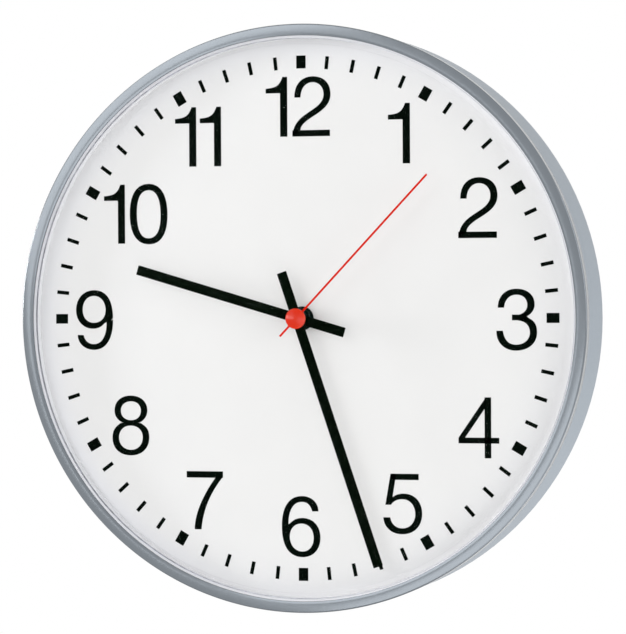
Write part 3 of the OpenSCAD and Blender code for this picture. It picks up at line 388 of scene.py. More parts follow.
@dataclass
class EffectShelf:
    """Builds each shared effect the first time that a finish asks for it."""

    made: dict[Effect, bpy.types.NodeTree] = field(default_factory=dict)

    def get(self, effect: Effect) -> bpy.types.NodeTree:
        """The node group of one effect, built if it isn't there yet.

        Args:
            effect: the effect, whose method draws its mask.

        Returns:
            The node group, which turns a place and a size into a mask.
        """
        if effect not in self.made:
            tree = bpy.data.node_groups.new(effect.value, "ShaderNodeTree")
            tree.interface.new_socket("Vector", in_out="INPUT", socket_type="NodeSocketVector")
            tree.interface.new_socket("Size", in_out="INPUT", socket_type="NodeSocketFloat")
            tree.interface.new_socket("Mask", in_out="OUTPUT", socket_type="NodeSocketFloat")
            graph = Graph(tree)
            come = graph.node("NodeGroupInput").outputs
            mask = getattr(self, effect.name.lower())(graph, come["Vector"], come["Size"])
            graph.node("NodeGroupOutput", {"Mask": mask})
            self.made[effect] = tree
        return self.made[effect]

    @staticmethod
    def drift(graph: Graph, at: Socket, size: Socket) -> Socket:
        """Slow clouds of tone: noise whose blots are about size across."""
        return graph.noise(at, size, 2.0)

    @staticmethod
    def grain(graph: Graph, at: Socket, size: Socket) -> Socket:
        """Fine even roughness: sharp noise with much detail at the given size."""
        return graph.noise(at, size, 5.0, Roughness=0.65)

    @staticmethod
    def rings(graph: Graph, at: Socket, size: Socket) -> Socket:
        """Tool marks of a lathe: noise along the distance from the axis off the wall."""
        fill = {"W": graph.sum("DIVIDE", graph.radius(at), size), "Scale": 1.0, "Detail": 3.0}
        return graph.node("TexNoise", fill, noise_dimensions="1D").outputs[0]

    @staticmethod
    def brush(graph: Graph, at: Socket, size: Socket) -> Socket:
        """Brushed or rolled lines: noise drawn out 30 times along x."""
        long = graph.node("VectorMath", {0: at, 1: (0.033, 1.0, 1.0)}, operation="MULTIPLY")
        return graph.noise(long.outputs[0], size, 4.0)

    @staticmethod
    def dust(graph: Graph, at: Socket, size: Socket) -> Socket:
        """Dust on what faces up: the upward share of the normal times patchy noise.

        Args:
            graph: the group's nodes.
            at: the place in millimetres.
            size: how wide a patch of dust is.

        Returns:
            The socket of the mask; a fifth of the dust lies on what doesn't face up.
        """
        part = graph.node("SeparateXYZ", {0: graph.node("NewGeometry").outputs["Normal"]}).outputs
        up = graph.sum("MULTIPLY", graph.sum("MAXIMUM", part[2], 0.0), 0.8)
        patch = graph.spread(graph.noise(at, size, 6.0))
        return graph.sum("MULTIPLY", graph.sum("ADD", up, 0.2), patch)

    @staticmethod
    def flake(graph: Graph, at: Socket, size: Socket) -> Socket:
        """Fine metal flakes: each small cell has a tone of its own.

        Args:
            graph: the group's nodes.
            at: the place in millimetres.
            size: how wide a flake is.

        Returns:
            The socket of the flakes' tones.
        """
        fill = {"Vector": at, "Scale": graph.sum("DIVIDE", 1.0, size)}
        cell = graph.node("TexVoronoi", fill).outputs["Color"]
        return graph.node("SeparateXYZ", {0: cell}).outputs[0]


SHELF = EffectShelf()


@dataclass(frozen=True)
class Finish:
    """One paint, metal or plastic of the clock, with its colour range and surface.

    The colour drifts between two tones, the roughness follows the surface pattern,
    the same pattern stands up as a fine bump, and some dust lies on upper faces.
    """

    slot: str
    tone: Colour
    second: Colour
    rough: Pair
    effect: Effect = Effect.GRAIN
    size: float = 0.4
    depth: float = 0.01
    metal: float = 0.0
    specular: float = 0.5
    coat: float = 0.0
    coat_rough: float = 0.08
    dust: float = 0.08
    dust_tone: Colour = (0.55, 0.53, 0.5)
    dust_size: float = 6.0
    dust_rough: float = 0.5
    axis: Pair = (0.0, 0.0)
    drift_size: float = 30.0
    trade: str = ""
    thin: float = 0.0

    def label(self) -> str:
        """The material's name in plain words."""
        return (self.trade or self.slot.replace("_", " ")) + " finish"

    def material(self) -> bpy.types.Material:
        """The finish's material, built when it is first asked for.

        Returns:
            The material, which all pieces with this finish share.
        """
        found = bpy.data.materials.get(self.label())
        if found:
            return found
        made = bpy.data.materials.new(self.label())
        self.draw(blank_graph(made))
        return made

    def place(self, graph: Graph) -> Socket:
        """Object coordinates in millimetres, measured from the finish's own axis.

        Args:
            graph: the material's nodes.

        Returns:
            The socket of the place.
        """
        coords = graph.node("TexCoord").outputs["Object"]
        shift = (-self.axis[0], 0.0, -self.axis[1])
        fill = {"Vector": coords, "Scale": (1 / MM,) * 3, "Location": shift}
        return graph.node("Mapping", fill).outputs[0]

    def mask(self, graph: Graph, effect: Effect, at: Socket, size: float) -> Socket:
        """The mask of one shared effect.

        Args:
            graph: the material's nodes.
            effect: the effect.
            at: the place in millimetres.
            size: the effect's size on this finish.

        Returns:
            The socket of the mask.
        """
        made = graph.node("Group", node_tree=SHELF.get(effect))
        graph.tree.links.new(at, made.inputs["Vector"])
        made.inputs["Size"].default_value = size
        return made.outputs["Mask"]

    def dusted(self, graph: Graph, at: Socket, colour: Socket) -> tuple[Socket, Socket]:
        """The share of dust at each place, and the colour with that dust on it."""
        dust = graph.sum("MULTIPLY", self.mask(graph, Effect.DUST, at, self.dust_size), self.dust)
        return dust, graph.blend(dust, colour, self.dust_tone)

    def shader(self, graph: Graph, fill: dict) -> bpy.types.Node:
        """The surface shader with this finish's metal and gloss, and the inputs given."""
        own = {"Metallic": self.metal, "Specular IOR Level": self.specular}
        return graph.node("BsdfPrincipled", own | fill)

    def draw(self, graph: Graph) -> None:
        """Wires colour, roughness, bump and dust into the shader.

        Args:
            graph: the material's nodes.
        """
        at = self.place(graph)
        pattern = self.mask(graph, self.effect, at, self.size)
        drift = graph.spread(self.mask(graph, Effect.DRIFT, at, self.drift_size))
        dust, colour = self.dusted(graph, at, graph.blend(drift, self.tone, self.second))
        rough = graph.spread(pattern, *self.rough)
        rough = graph.sum("ADD", rough, graph.sum("MULTIPLY", dust, self.dust_rough), clamp=True)
        fill = {
            "Base Color": colour,
            "Roughness": rough,
            "Coat Weight": self.coat,
            "Coat Roughness": self.coat_rough,
            "Normal": graph.bump(pattern, self.depth),
        }
        self.close(graph, self.shader(graph, fill))

    def close(self, graph: Graph, shader: bpy.types.Node) -> None:
        """Wires the shader out; a thin piece lets part of the soft light pass it.

        Args:
            graph: the material's nodes.
            shader: the finished shader.
        """
        if self.thin:
            share = graph.sum("MULTIPLY", graph.rays("Shadow", "Diffuse"), self.thin)
            shader = graph.mixed(share, shader, graph.node("BsdfTransparent"))
        graph.node("OutputMaterial", {"Surface": shader.outputs[0]})


@dataclass(frozen=True)
class Lacquer(Finish):
    """Grey metallic lacquer: fine flakes vary its tone and its sheen."""

    dust_tone: Colour = (0.5, 0.5, 0.5)
    dust_size: float = 5.0
    dust_rough: float = 0.6
    peel_size: float = 1.6
    flake_share: float = 0.5
    flake_rise: float = 0.12

    def draw(self, graph: Graph) -> None:
        """Wires flakes and drift into the colour and a soft orange peel into the bump.

        Args:
            graph: the material's nodes.
        """
        at = self.place(graph)
        flake = self.mask(graph, Effect.FLAKE, at, self.size)
        peel = self.mask(graph, Effect.DRIFT, at, self.peel_size)
        drift = self.mask(graph, Effect.DRIFT, at, self.drift_size)
        drift = graph.spread(drift, 0.0, 1 - self.flake_share)
        share = graph.sum("ADD", drift, graph.sum("MULTIPLY", flake, self.flake_share))
        dust, colour = self.dusted(graph, at, graph.blend(share, self.tone, self.second))
        dull = graph.sum("MULTIPLY", dust, self.dust_rough)
        height = graph.sum("ADD", peel, graph.sum("MULTIPLY", flake, self.flake_rise))
        fill = {
            "Base Color": colour,
            "Roughness": graph.sum("ADD", graph.spread(flake, *self.rough), dull),
            "Normal": graph.bump(height, self.depth),
        }
        self.close(graph, self.shader(graph, fill))


@dataclass(frozen=True)
class ClearPlastic(Finish):
    """Clear blown plastic: light for shadows and soft bounces goes straight through.

    The shoulder is thicker to look through, so it takes some of that light, and the
    dial lies in a faint bluish shade along its rim. The steep foot hardly bends what
    is seen through it.
    """

    ior: float = 1.04
    wave_size: float = 60.0
    passing: Colour = (0.985, 0.985, 0.985)
    shoulder: Pair = (137.0, 141.5)
    shaded: Colour = (0.92, 0.93, 0.97)
    foot: Pair = (138.4, 139.6)
    foot_share: float = 0.92

    def draw(self, graph: Graph) -> None:
        """Wires a thin clear shader, with a plain see-through one for soft light.

        Args:
            graph: the material's nodes.
        """
        at = self.place(graph)
        haze = self.mask(graph, Effect.GRAIN, at, self.size)
        wave = self.mask(graph, Effect.DRIFT, at, self.wave_size)
        fill = {
            "Base Color": graph.blend(graph.spread(haze), self.tone, self.second),
            "Roughness": graph.spread(haze, *self.rough),
            "IOR": self.ior,
            "Transmission Weight": 1.0,
            "Normal": graph.bump(wave, self.depth),
        }
        soft, radius = graph.rays("Shadow", "Diffuse"), graph.radius(at)
        shadow = graph.sum("MULTIPLY", graph.span(radius, self.shoulder), soft)
        tint = graph.blend(shadow, self.passing, self.shaded)
        open_way = graph.node("BsdfTransparent", {"Color": tint})
        share = graph.sum("MAXIMUM", soft, graph.span(radius, self.foot, high=self.foot_share))
        self.close(graph, graph.mixed(share, self.shader(graph, fill), open_way))


def shade(r: float, g: float, b: float, deep: float = 0.86) -> tuple[Colour, Colour]:
    """A colour and a slightly deeper one of the same hue, as linear values."""
    return (r, g, b), (r * deep, g * deep, b * deep)


BEZEL_GREY = Lacquer("bezel_paint", *shade(0.176, 0.198, 0.221, 0.93), (0.12, 0.17), size=0.22,
                     depth=0.012, metal=0.5, specular=0.7, dust=0.05)
CASE_GREY = Lacquer("case_paint", *shade(0.25, 0.3, 0.352, 0.93), (0.3, 0.4), size=0.22,
                    depth=0.012, metal=0.35, specular=0.4, dust=0.08)
DOME_CLEAR = ClearPlastic("clear_lens", (1.0, 1.0, 1.0), (0.985, 0.99, 0.99), (0.01, 0.02),
                          size=2.0, depth=0.0, specular=0.12)
DIAL_WHITE = Finish("dial_paint", *shade(0.82, 0.817, 0.811, 0.985), (0.42, 0.5), size=1.2,
                    depth=0.006, specular=0.2, dust=0.02)
RIM_WHITE = Finish("white_plastic", *shade(0.9, 0.905, 0.92, 0.98), (0.25, 0.35), size=0.8,
                   depth=0.006, specular=0.4, dust=0.03)
SEAL_PALE = Finish("white_plastic", *shade(0.8, 0.805, 0.83, 0.98), (0.12, 0.2), size=0.8,
                   depth=0.004, specular=0.5, dust=0.0, trade="pale seal")
DIAL_INK = Finish("black_ink", *shade(0.0008, 0.0028, 0.0014), (0.45, 0.6), size=0.25,
                  depth=0.004, specular=0.01, dust=0.0)
HAND_BLACK = Finish("black_metal", *shade(0.0004, 0.0024, 0.0006), (0.32, 0.42), size=0.3,
                    depth=0.004, specular=0.01, dust=0.0, thin=0.75)
NUT_BLACK = Finish("black_metal", *shade(0.002, 0.012, 0.009), (0.1, 0.2), Effect.RINGS, 0.3,
                   0.004, specular=0.1, dust=0.0, trade="black nickel")
HAND_RED = Finish("red_paint", *shade(0.68, 0.012, 0.001, 0.95), (0.3, 0.4), size=0.3,
                  depth=0.003, specular=0.03, dust=0.0, thin=0.5)
CAP_RED = Finish("red_paint", *shade(0.72, 0.026, 0.002, 0.96), (0.13, 0.16), size=0.3,
                 depth=0.0, specular=0.24, dust=0.0, trade="turned cap", thin=0.5)
RUBBER = Finish("black_rubber", *shade(0.018, 0.018, 0.019), (0.6, 0.8), size=0.6, depth=0.03)
ZINC = Finish("zinc_steel", *shade(0.56, 0.57, 0.58, 0.9), (0.3, 0.48), Effect.BRUSH, 0.5,
              0.006, metal=1.0, dust=0.12, drift_size=18.0)
BRASS = Finish("brass", *shade(0.72, 0.5, 0.2, 0.9), (0.2, 0.34), Effect.BRUSH, 0.2, 0.004,
               metal=1.0, dust=0.04, drift_size=12.0)
STEEL = Finish("steel", *shade(0.6, 0.61, 0.62, 0.92), (0.16, 0.28), Effect.RINGS, 0.15, 0.003,
               metal=1.0, dust=0.02, drift_size=8.0)
CORE = Finish("core_steel", *shade(0.36, 0.36, 0.37, 0.85), (0.4, 0.55), Effect.BRUSH, 0.35,
              0.012, metal=1.0, dust=0.05)
COPPER = Finish("copper", *shade(0.62, 0.24, 0.1, 0.8), (0.22, 0.36), Effect.GRAIN, 0.3, 0.03,
                metal=1.0, coat=0.5, dust=0.02, drift_size=1.0)
IVORY = Finish("ivory_plastic", *shade(0.72, 0.66, 0.5, 0.95), (0.4, 0.52), size=0.5, depth=0.01)
BOARD = Finish("board_green", *shade(0.02, 0.13, 0.05, 0.8), (0.3, 0.42), Effect.BRUSH, 0.6,
               0.012, coat=0.3, drift_size=5.0)
CHIP = Finish("component_black", *shade(0.02, 0.02, 0.021), (0.5, 0.65), size=0.2, depth=0.008)
LEAD = Finish("lead_red", *shade(0.5, 0.02, 0.015), (0.35, 0.45), size=0.5, depth=0.006)
MAGNET = Finish("magnet", *shade(0.09, 0.088, 0.085, 0.8), (0.5, 0.66), size=0.25, depth=0.015,
                metal=0.6, axis=(22.25, 8.06))
KNOB = Finish("knob_plastic", *shade(0.03, 0.03, 0.031), (0.38, 0.5), size=0.4, depth=0.01)


def dress(*nodes: str, finish: Finish) -> None:
    """Puts a finish on CAD nodes that are shown as they are.

    Args:
        nodes: the nodes' names.
        finish: what they are painted or made of.
    """
    for name in nodes:
        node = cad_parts[name]
        slots = node.data.materials
        for k in range(len(slots)):
            slots[k] = finish.material()
        if not len(slots):
            slots.append(finish.material())
        LOG.info("dressed %s in %s", name, finish.label())


# Studio


def looking_from(azimuth: float, elevation: float, roll: float) -> Axes:
    """Right, up and backward directions of something that looks back at the clock.

    Args:
        azimuth: degrees round the clock, 0 in front of it and 90 at its right.
        elevation: degrees above the level of its middle.
        roll: degrees that it is turned about its line of sight.

    Returns:
        The three unit vectors.
    """
    az, el, turn = (math.radians(angle) for angle in (azimuth, elevation, roll))
    back = np.array([math.sin(az) * math.cos(el), -math.cos(az) * math.cos(el), math.sin(el)])
    level = np.cross([0.0, 0.0, 1.0], back)
    level /= np.linalg.norm(level)
    plumb = np.cross(back, level)
    c, s = math.cos(turn), math.sin(turn)
    return c * level + s * plumb, c * plumb - s * level, back


def stand(thing: bpy.types.Object, place: np.ndarray, axes: Axes) -> None:
    """Puts a camera or lamp at a place.

    Args:
        thing: the camera or lamp.
        place: where it stands, in millimetres.
        axes: its right, up and backward directions.
    """
    matrix = np.eye(4)
    matrix[:3, :3] = np.stack(axes, -1)
    matrix[:3, 3] = place * MM
    thing.matrix_world = Matrix(matrix.tolist())


@dataclass(frozen=True)
class SoftBox:
    """One rectangular lamp: its middle and size, and how bright its face looks.

    White is 1. The lamp is turned to the clock's middle, or hangs square to the wall,
    and then by its roll about its line of sight, in degrees.
    """

    name: str
    centre: Place
    size: Pair
    glow: float
    facing: bool = True
    roll: float = 0.0

    def hang(self) -> None:
        """Makes the lamp; its energy is glow times pi times the area of its face."""
        data = bpy.data.lights.new(self.name, "AREA")
        data.shape = "RECTANGLE"
        data.size, data.size_y = self.size[0] * MM, self.size[1] * MM
        data.energy = self.glow * math.pi * data.size * data.size_y
        x, y, z = self.centre
        turn, lift = math.atan2(x, -y), math.atan2(z, math.hypot(x, y))
        turn, lift = (math.degrees(turn), math.degrees(lift)) if self.facing else (0.0, 0.0)
        axes = looking_from(turn, lift, self.roll)
        stand(into_scene(self.name, data), np.array(self.centre), axes)


SOFT_BOXES = (
    SoftBox("front soft box", (-1032.0, -1700.0, 668.0), (1300.0, 1200.0), 2.5, False, -13.9),
    SoftBox("low front soft box", (-105.0, -1700.0, -419.0), (740.0, 650.0), 2.25, False),
    SoftBox("upper left soft box", (-1010.0, -840.0, 920.0), (700.0, 700.0), 1.9),
    SoftBox("lower right soft box", (730.0, -870.0, -1130.0), (1000.0, 1000.0), 2.0),
    SoftBox("side strip", (-1462.0, -296.0, 195.0), (150.0, 380.0), 60.0),
    SoftBox("right soft box", (1400.0, -560.0, 350.0), (700.0, 900.0), 3.2),
    SoftBox("rear soft box", (1150.0, 650.0, -900.0), (900.0, 900.0), 3.0),
)


@dataclass
class Studio:
    """Camera at the photograph's place, a pale floor, soft lamps and a white surround.

    The distance and the aim of the camera are in radii of the dial's ring of marks,
    which is the scale, and count from the middle of the dial's face.
    """

    scale: float = 131.0
    azimuth: float = 16.58
    elevation: float = 0.59
    roll: float = -0.29
    distance: float = 13.078
    aim: Pair = (0.0418, 0.0054)
    lens: float = 190.26
    sensor: float = 36.0
    clip: Pair = (0.05, 50.0)
    room_light: float = 0.45
    room_white: float = 1.0
    floor_z: float = -1750.0
    floor_r: float = 2400.0
    floor_hole: float = 0.001
    floor_pale: Colour = (0.93, 0.93, 0.93)
    floor_second: Colour = (0.9, 0.9, 0.9)

    def camera(self) -> None:
        """Stands the camera where the photograph was taken from and makes it the scene's."""
        cam = bpy.data.cameras.new("camera")
        cam.lens, cam.sensor_width = self.lens, self.sensor
        cam.clip_start, cam.clip_end = self.clip
        eye = into_scene("camera", cam)
        axes = looking_from(self.azimuth, self.elevation, self.roll)
        place = self.aim[0] * axes[0] + self.aim[1] * axes[1] + self.distance * axes[2]
        stand(eye, np.array([0.0, -DIAL_Z, 0.0]) + self.scale * place, axes)
        bpy.context.scene.camera = eye

    def surround(self) -> None:
        """White where the camera, gloss or clear plastic looks, and gentler as a light."""
        world = bpy.data.worlds.new("white room")
        graph = blank_graph(world)
        seen = graph.rays("Camera", "Transmission", "Glossy")
        soft, white = (
            graph.node("Background", {"Color": (1.0, 1.0, 1.0, 1.0), "Strength": strength})
            for strength in (self.room_light, self.room_white)
        )
        graph.node("OutputWorld", {"Surface": graph.mixed(seen, soft, white).outputs[0]})
        bpy.context.scene.world = world

    def floor(self) -> None:
        """Lays a round pale floor below the clock, which takes its shadow.

        Its quads run from a pinpoint in the middle to the rim.
        """
        outline = np.array([[self.floor_hole, -self.floor_z], [self.floor_r, -self.floor_z]])
        grid = turned(outline, PLAIN_TURN)[..., [0, 2, 1]]
        rows, cols = grid.shape[:2]
        i = np.arange(rows) * cols
        after = np.roll(i, -1)
        mesh = bpy.data.meshes.new("floor")
        quads = np.stack([i, i + 1, after + 1, after], -1)
        mesh.from_pydata(grid.reshape(-1, 3) * MM, [], quads.tolist())
        floor = into_scene("floor", mesh)
        pale = bpy.data.materials.new("pale floor")
        graph = blank_graph(pale)
        at = graph.node("TexCoord").outputs["Object"]
        cloud = graph.node("TexNoise", {"Vector": at, "Scale": 3.0}).outputs[0]
        colour = graph.blend(cloud, self.floor_pale, self.floor_second)
        shader = graph.node("BsdfPrincipled", {"Base Color": colour, "Roughness": 0.9})
        graph.node("OutputMaterial", {"Surface": shader.outputs[0]})
        mesh.materials.append(pale)

    def build(self) -> None:
        """Sets up camera, surround, lamps and floor in that order."""
        self.camera()
        self.surround()
        for box in SOFT_BOXES:
            box.hang()
        self.floor()
        bpy.context.scene.view_settings.view_transform = "Standard"


# Case and bezel


@dataclass
class CaseShell:
    """Round steel case with its lacquered bezel."""

    bezel_r: float = 150.0
    lip_r: float = 144.1
    lip_z: float = 41.2
    face_z: float = 42.4
    crown: float = 0.1
    edge_round: float = 0.8
    edge_end: float = 82.0
    lip_round: float = 0.25
    land: float = 1.1
    land_tilt: float = 14.0
    bottom_z: float = 35.8
    bottom_round: float = 0.35
    corner: float = 0.1
    skirt_in_r: float = 148.1
    face_steps: int = 25
    edge_steps: int = 13
    lip_steps: int = 8

    def bezel(self) -> None:
        """Turns the bezel: a crowned face, z = face + crown (1 - ((r - middle) / half)^2).

        A narrow land inside it leans towards the dial and ends in the rounded lip.
        """
        face_in, face_out = self.lip_r + self.land, self.bezel_r - self.edge_round
        middle, half = (face_in + face_out) / 2, (face_out - face_in) / 2
        r = np.linspace(face_in, face_out, self.face_steps)
        face = np.stack([r, self.face_z + self.crown * (1 - ((r - middle) / half) ** 2)], -1)
        edge_middle = (face_out, self.face_z - self.edge_round)
        edge = arc(edge_middle, self.edge_round, self.edge_end, 0.0, self.edge_steps)
        lean = math.radians(self.land_tilt)
        fall = (self.land - self.lip_round * (1 - math.sin(lean))) * math.tan(lean)
        lip_middle = (self.lip_r + self.lip_round,
                      self.face_z - fall - self.lip_round * math.cos(lean))
        lip_end = 90.0 + self.land_tilt
        lip = arc(lip_middle, self.lip_round, 180.0, lip_end, self.lip_steps)
        skirt = np.array([[self.bezel_r, self.bottom_z + self.bottom_round],
                          [self.bezel_r - self.corner, self.bottom_z + self.corner],
                          [self.bezel_r - self.bottom_round, self.bottom_z],
                          [self.skirt_in_r, self.bottom_z], [self.skirt_in_r, self.lip_z],
                          [self.lip_r + self.corner, self.lip_z],
                          [self.lip_r, self.lip_z + self.corner]])
        piece = Body("bezel_ring")
        piece.add(turned(np.concatenate([lip, face, edge, skirt]), FINE_TURN))
        piece.build("frame", BEZEL_GREY, ["bezel"])

    def build(self) -> None:
        """Makes the bezel and dresses the case."""
        self.bezel()
        dress("casing", finish=CASE_GREY)


# Dial


INK_ACROSS = (0.0, 0.0, 0.02, 0.98, 1.0, 1.0)  # shares of the way over a pen stroke
INK_UP = (0.0, 0.6, 1.0, 1.0, 0.6, 0.0)  # shares of the ink's thickness at those places


@dataclass(frozen=True)
class Stroke:
    """One pen stroke of a figure: the ground between a left and a right edge."""

    left: tuple[float, ...]
    right: tuple[float, ...]
    ring: bool = False

    def grid(self, corner: Pair, base: float, thick: float) -> np.ndarray:
        """The stroke as printed ink, flat on top with a softened edge.

        Each cross section runs from the left edge to the right one: at share s across,
        the ink stands at left + s (right - left).

        Args:
            corner: where the figure's lower left corner is on the dial.
            base: how far the dial stands off the wall.
            thick: the ink's thickness.

        Returns:
            A grid of points along the stroke by its cross section.
        """
        left, right = chain(self.left), chain(self.right)
        if self.ring:
            left, right = left[:-1], right[:-1]
        share = np.array(INK_ACROSS)[None, :, None]
        rise = np.array(INK_UP)[None] * thick + base
        flat = left[:, None] + share * (right - left)[:, None] + np.asarray(corner)
        return np.stack([flat[..., 0], -np.broadcast_to(rise, flat.shape[:2]), flat[..., 1]], -1)


def bar(x0: float, y0: float, x1: float, y1: float) -> Stroke:
    """A straight upright stroke that fills the box from (x0, y0) to (x1, y1)."""
    return Stroke((x0, y0, x0, y1), (x1, y0, x1, y1))


FIGURES: dict[str, tuple[Stroke, ...]] = {
    "0": (
        Stroke(
            (10.4, 31.1, 18.5, 31.1, 20.7, 22.8, 20.7, 15.1, 20.7, 7.5, 18.6, -0.3, 10.6, -0.3,
             1.8, -0.3, 0, 8.3, 0, 15.6, 0, 22.8, 2, 31.1, 10.4, 31.1),
            (10.4, 27.8, 16, 27.8, 16.9, 20.3, 16.9, 14.8, 16.9, 9.6, 16.1, 2.8, 10.1, 2.8,
             4.8, 2.8, 3.9, 10.3, 3.9, 15.6, 3.9, 20.8, 4.7, 27.8, 10.4, 27.8),
            True,
        ),
    ),
    "1": (
        bar(-3.85, 0, 0, 22.5),
        bar(-2.6, 22.3, 0, 30.6),
        Stroke((-11.5, 24.7, -6.3, 25.1, -4.2, 25.8, -2.5, 30.6), (-11.5, 22.3, -2.5, 22.3)),
    ),
    "2": (
        Stroke(
            (1.1, 19.9, 1.1, 27.3, 5.5, 30.6, 10.8, 30.6, 16.6, 30.6, 20.4, 27.2, 20.4, 21.4,
             20.4, 17.8, 18.5, 15.2, 15.3, 12.9, 11.1, 9.7, 4.4, 7.3, 4.2, 3.1),
            (4.4, 19.9, 4.4, 23.7, 6.5, 27.6, 10.9, 27.6, 14, 27.6, 16.7, 25.2, 16.7, 21.5,
             16.7, 17.4, 13.8, 15.6, 10.3, 13.3, 4, 9.6, 0.5, 6.8, 0.1, 0.3),
        ),
        bar(0, 0, 20.0, 3.2),
    ),
    "3": (
        Stroke(
            (0.8, 21.3, 0.9, 26.9, 4.4, 30.8, 10.5, 30.8, 15.8, 30.8, 19.8, 27.9, 19.8, 22.9,
             19.8, 20.1, 18, 18.1, 15.8, 16.9),
            (4.1, 21.3, 4.1, 24, 6, 27.8, 10.5, 27.8, 13.6, 27.8, 16, 25.9, 16, 22.7,
             16, 19.8, 13.8, 18.1, 11.2, 17.7),
        ),
        bar(8.1, 14.95, 15.8, 17.8),
        Stroke(
            (15.8, 16.9, 16.1, 15.6, 21, 15.8, 21, 9, 21, 3, 16.1, -0.3, 10.1, -0.3,
             3.3, -0.3, -0.3, 4.7, 0.1, 9.7),
            (11.2, 14.8, 14.6, 14.6, 17.3, 12.7, 17.3, 8.8, 17.3, 5.1, 14.1, 2.7, 10.2, 2.7,
             5.6, 2.7, 3.9, 6.1, 3.4, 9.7),
        ),
    ),
    "4": (
        bar(13.55, 0, 16.95, 30.65),
        bar(0, 7.45, 21.1, 10.35),
        Stroke((0, 10.3, 14.2, 30.65), (3.4, 10.3, 13.8, 25.2)),
    ),
    "5": (
        bar(4.0, 27.4, 18.75, 30.5),
        Stroke((4.0, 30.5, 1.2, 14.7), (7.0, 30.5, 4.3, 14.7)),
        Stroke(
            (4.7, 18.5, 6.5, 19.4, 7.4, 20.5, 10.7, 20.5, 17, 20.5, 20.5, 16.1, 20.5, 10.3,
             20.5, 4.2, 16.4, -0.2, 9.9, -0.2, 4, -0.2, 0.3, 3.4, 0.1, 8.3),
            (4.1, 14.8, 5.8, 16.8, 7.6, 17.6, 10.1, 17.6, 14.5, 17.6, 16.9, 14.1, 16.9, 10,
             16.9, 6.2, 14.2, 2.8, 10.1, 2.8, 7, 2.8, 4.4, 4.5, 3.7, 8.3),
        ),
    ),
    "6": (
        Stroke(
            (19.6, 23.3, 19.6, 27.7, 16, 31, 11, 31, 2.5, 31, 0, 23.1, 0, 15.5),
            (16.3, 23.2, 15.4, 26.1, 14, 28, 10.8, 28, 4.6, 28, 3.4, 20.4, 3.6, 16.4),
        ),
        Stroke(
            (11.1, 19.8, 17.1, 19.8, 20.6, 15.6, 20.6, 9.9, 20.6, 3.4, 16.4, -0.3, 11, -0.3,
             2, -0.3, 0, 7.9, 0, 15.5, 1.2, 15.8, 2.4, 16.1, 3.6, 16.4, 5.6, 17.9, 6.7, 19.8,
             11.1, 19.8),
            (10.5, 16.9, 14.7, 16.9, 17, 13.6, 17, 9.7, 17, 5.7, 14.7, 2.6, 11, 2.6,
             6.9, 2.6, 4.2, 5.9, 4.2, 10.1, 4.2, 13.8, 6.4, 16.9, 10.5, 16.9),
            True,
        ),
    ),
    "7": (
        bar(0, 26.8, 19.7, 30.1),
        Stroke(
            (15.7, 27.0, 10, 19.4, 4.3, 9.2, 4.2, 0.1),
            (19.7, 27.4, 13.1, 19.4, 8.8, 10.5, 7.9, 0.1),
        ),
    ),
    "8": (
        Stroke(
            (10.2, 30.7, 15.3, 30.7, 19.3, 27.9, 19.3, 23.1, 19.3, 19.4, 16.9, 17.9, 15.4, 16.7,
             11.9, 16.7, 8.5, 16.7, 5, 16.7, 3.6, 17.9, 1.2, 19.1, 1.2, 22.9,
             1.2, 28, 5.2, 30.7, 10.2, 30.7),
            (10.4, 27.7, 13.5, 27.7, 15.7, 25.9, 15.7, 22.8, 15.7, 19.9, 13.6, 17.9, 10.3, 17.9,
             7.2, 17.9, 4.7, 19.6, 4.7, 22.9, 4.7, 25.8, 7.1, 27.7, 10.4, 27.7),
            True,
        ),
        Stroke(
            (10.2, 16.7, 11.9, 16.7, 13.7, 16.7, 15.4, 16.7, 16.9, 15.2, 20.3, 14.8, 20.3, 9.2,
             20.3, 3, 15.9, -0.4, 10.1, -0.4, 4.2, -0.4, 0, 2.8, 0, 8.8,
             0, 14.1, 3.1, 15.2, 5, 16.7, 6.7, 16.7, 8.5, 16.7, 10.2, 16.7),
            (10, 15.1, 14.1, 15.1, 16.7, 12.6, 16.7, 9.2, 16.7, 5.1, 14, 2.5, 10.2, 2.5,
             6.3, 2.5, 3.6, 5.2, 3.6, 8.9, 3.6, 12.5, 6.3, 15.1, 10, 15.1),
            True,
        ),
    ),
    "9": (
        Stroke(
            (0.9, 7.4, 0.9, 2.5, 5.2, -0.4, 9.9, -0.4, 18.1, -0.4, 20.5, 7.9, 20.5, 15.3),
            (4.1, 7.3, 4.9, 4.2, 7, 2.6, 9.9, 2.6, 15.9, 2.6, 17.2, 10.6, 16.8, 14.2),
        ),
        Stroke(
            (10, 30.7, 18.8, 30.7, 20.5, 22.8, 20.5, 15.3, 19.3, 14.9, 18, 14.6, 16.8, 14.2,
             15.7, 14.2, 14.9, 10.6, 9.3, 10.6, 3.9, 10.6, 0, 14.7, 0, 20.2,
             0, 26.5, 4.2, 30.7, 10, 30.7),
            (10, 27.7, 14, 27.7, 16.4, 24.2, 16.4, 20.5, 16.4, 16.3, 13.8, 13.7, 9.8, 13.7,
             6.2, 13.7, 3.7, 16.4, 3.7, 20.4, 3.7, 24.4, 5.9, 27.7, 10, 27.7),
            True,
        ),
    ),
}

HOURS: dict[str, tuple[tuple[str, float, float], ...]] = {
    "1": (("1", 57.42, 78.42),),
    "2": (("2", 82.37, 40.3),),
    "3": (("3", 101.82, -16.1),),
    "4": (("4", 82.02, -70.6),),
    "5": (("5", 42.39, -109.4),),
    "6": (("6", -11.47, -121.9),),
    "7": (("7", -62.78, -108.89),),
    "8": (("8", -103.42, -70.6),),
    "9": (("9", -123.23, -15.8),),
    "10": (("1", -95.84, 38.99), ("0", -93.2, 38.8)),
    "11": (("1", -56.61, 78.42), ("1", -43.12, 78.42)),
    "12": (("1", -7.45, 92.99), ("2", -4.75, 92.97)),
}


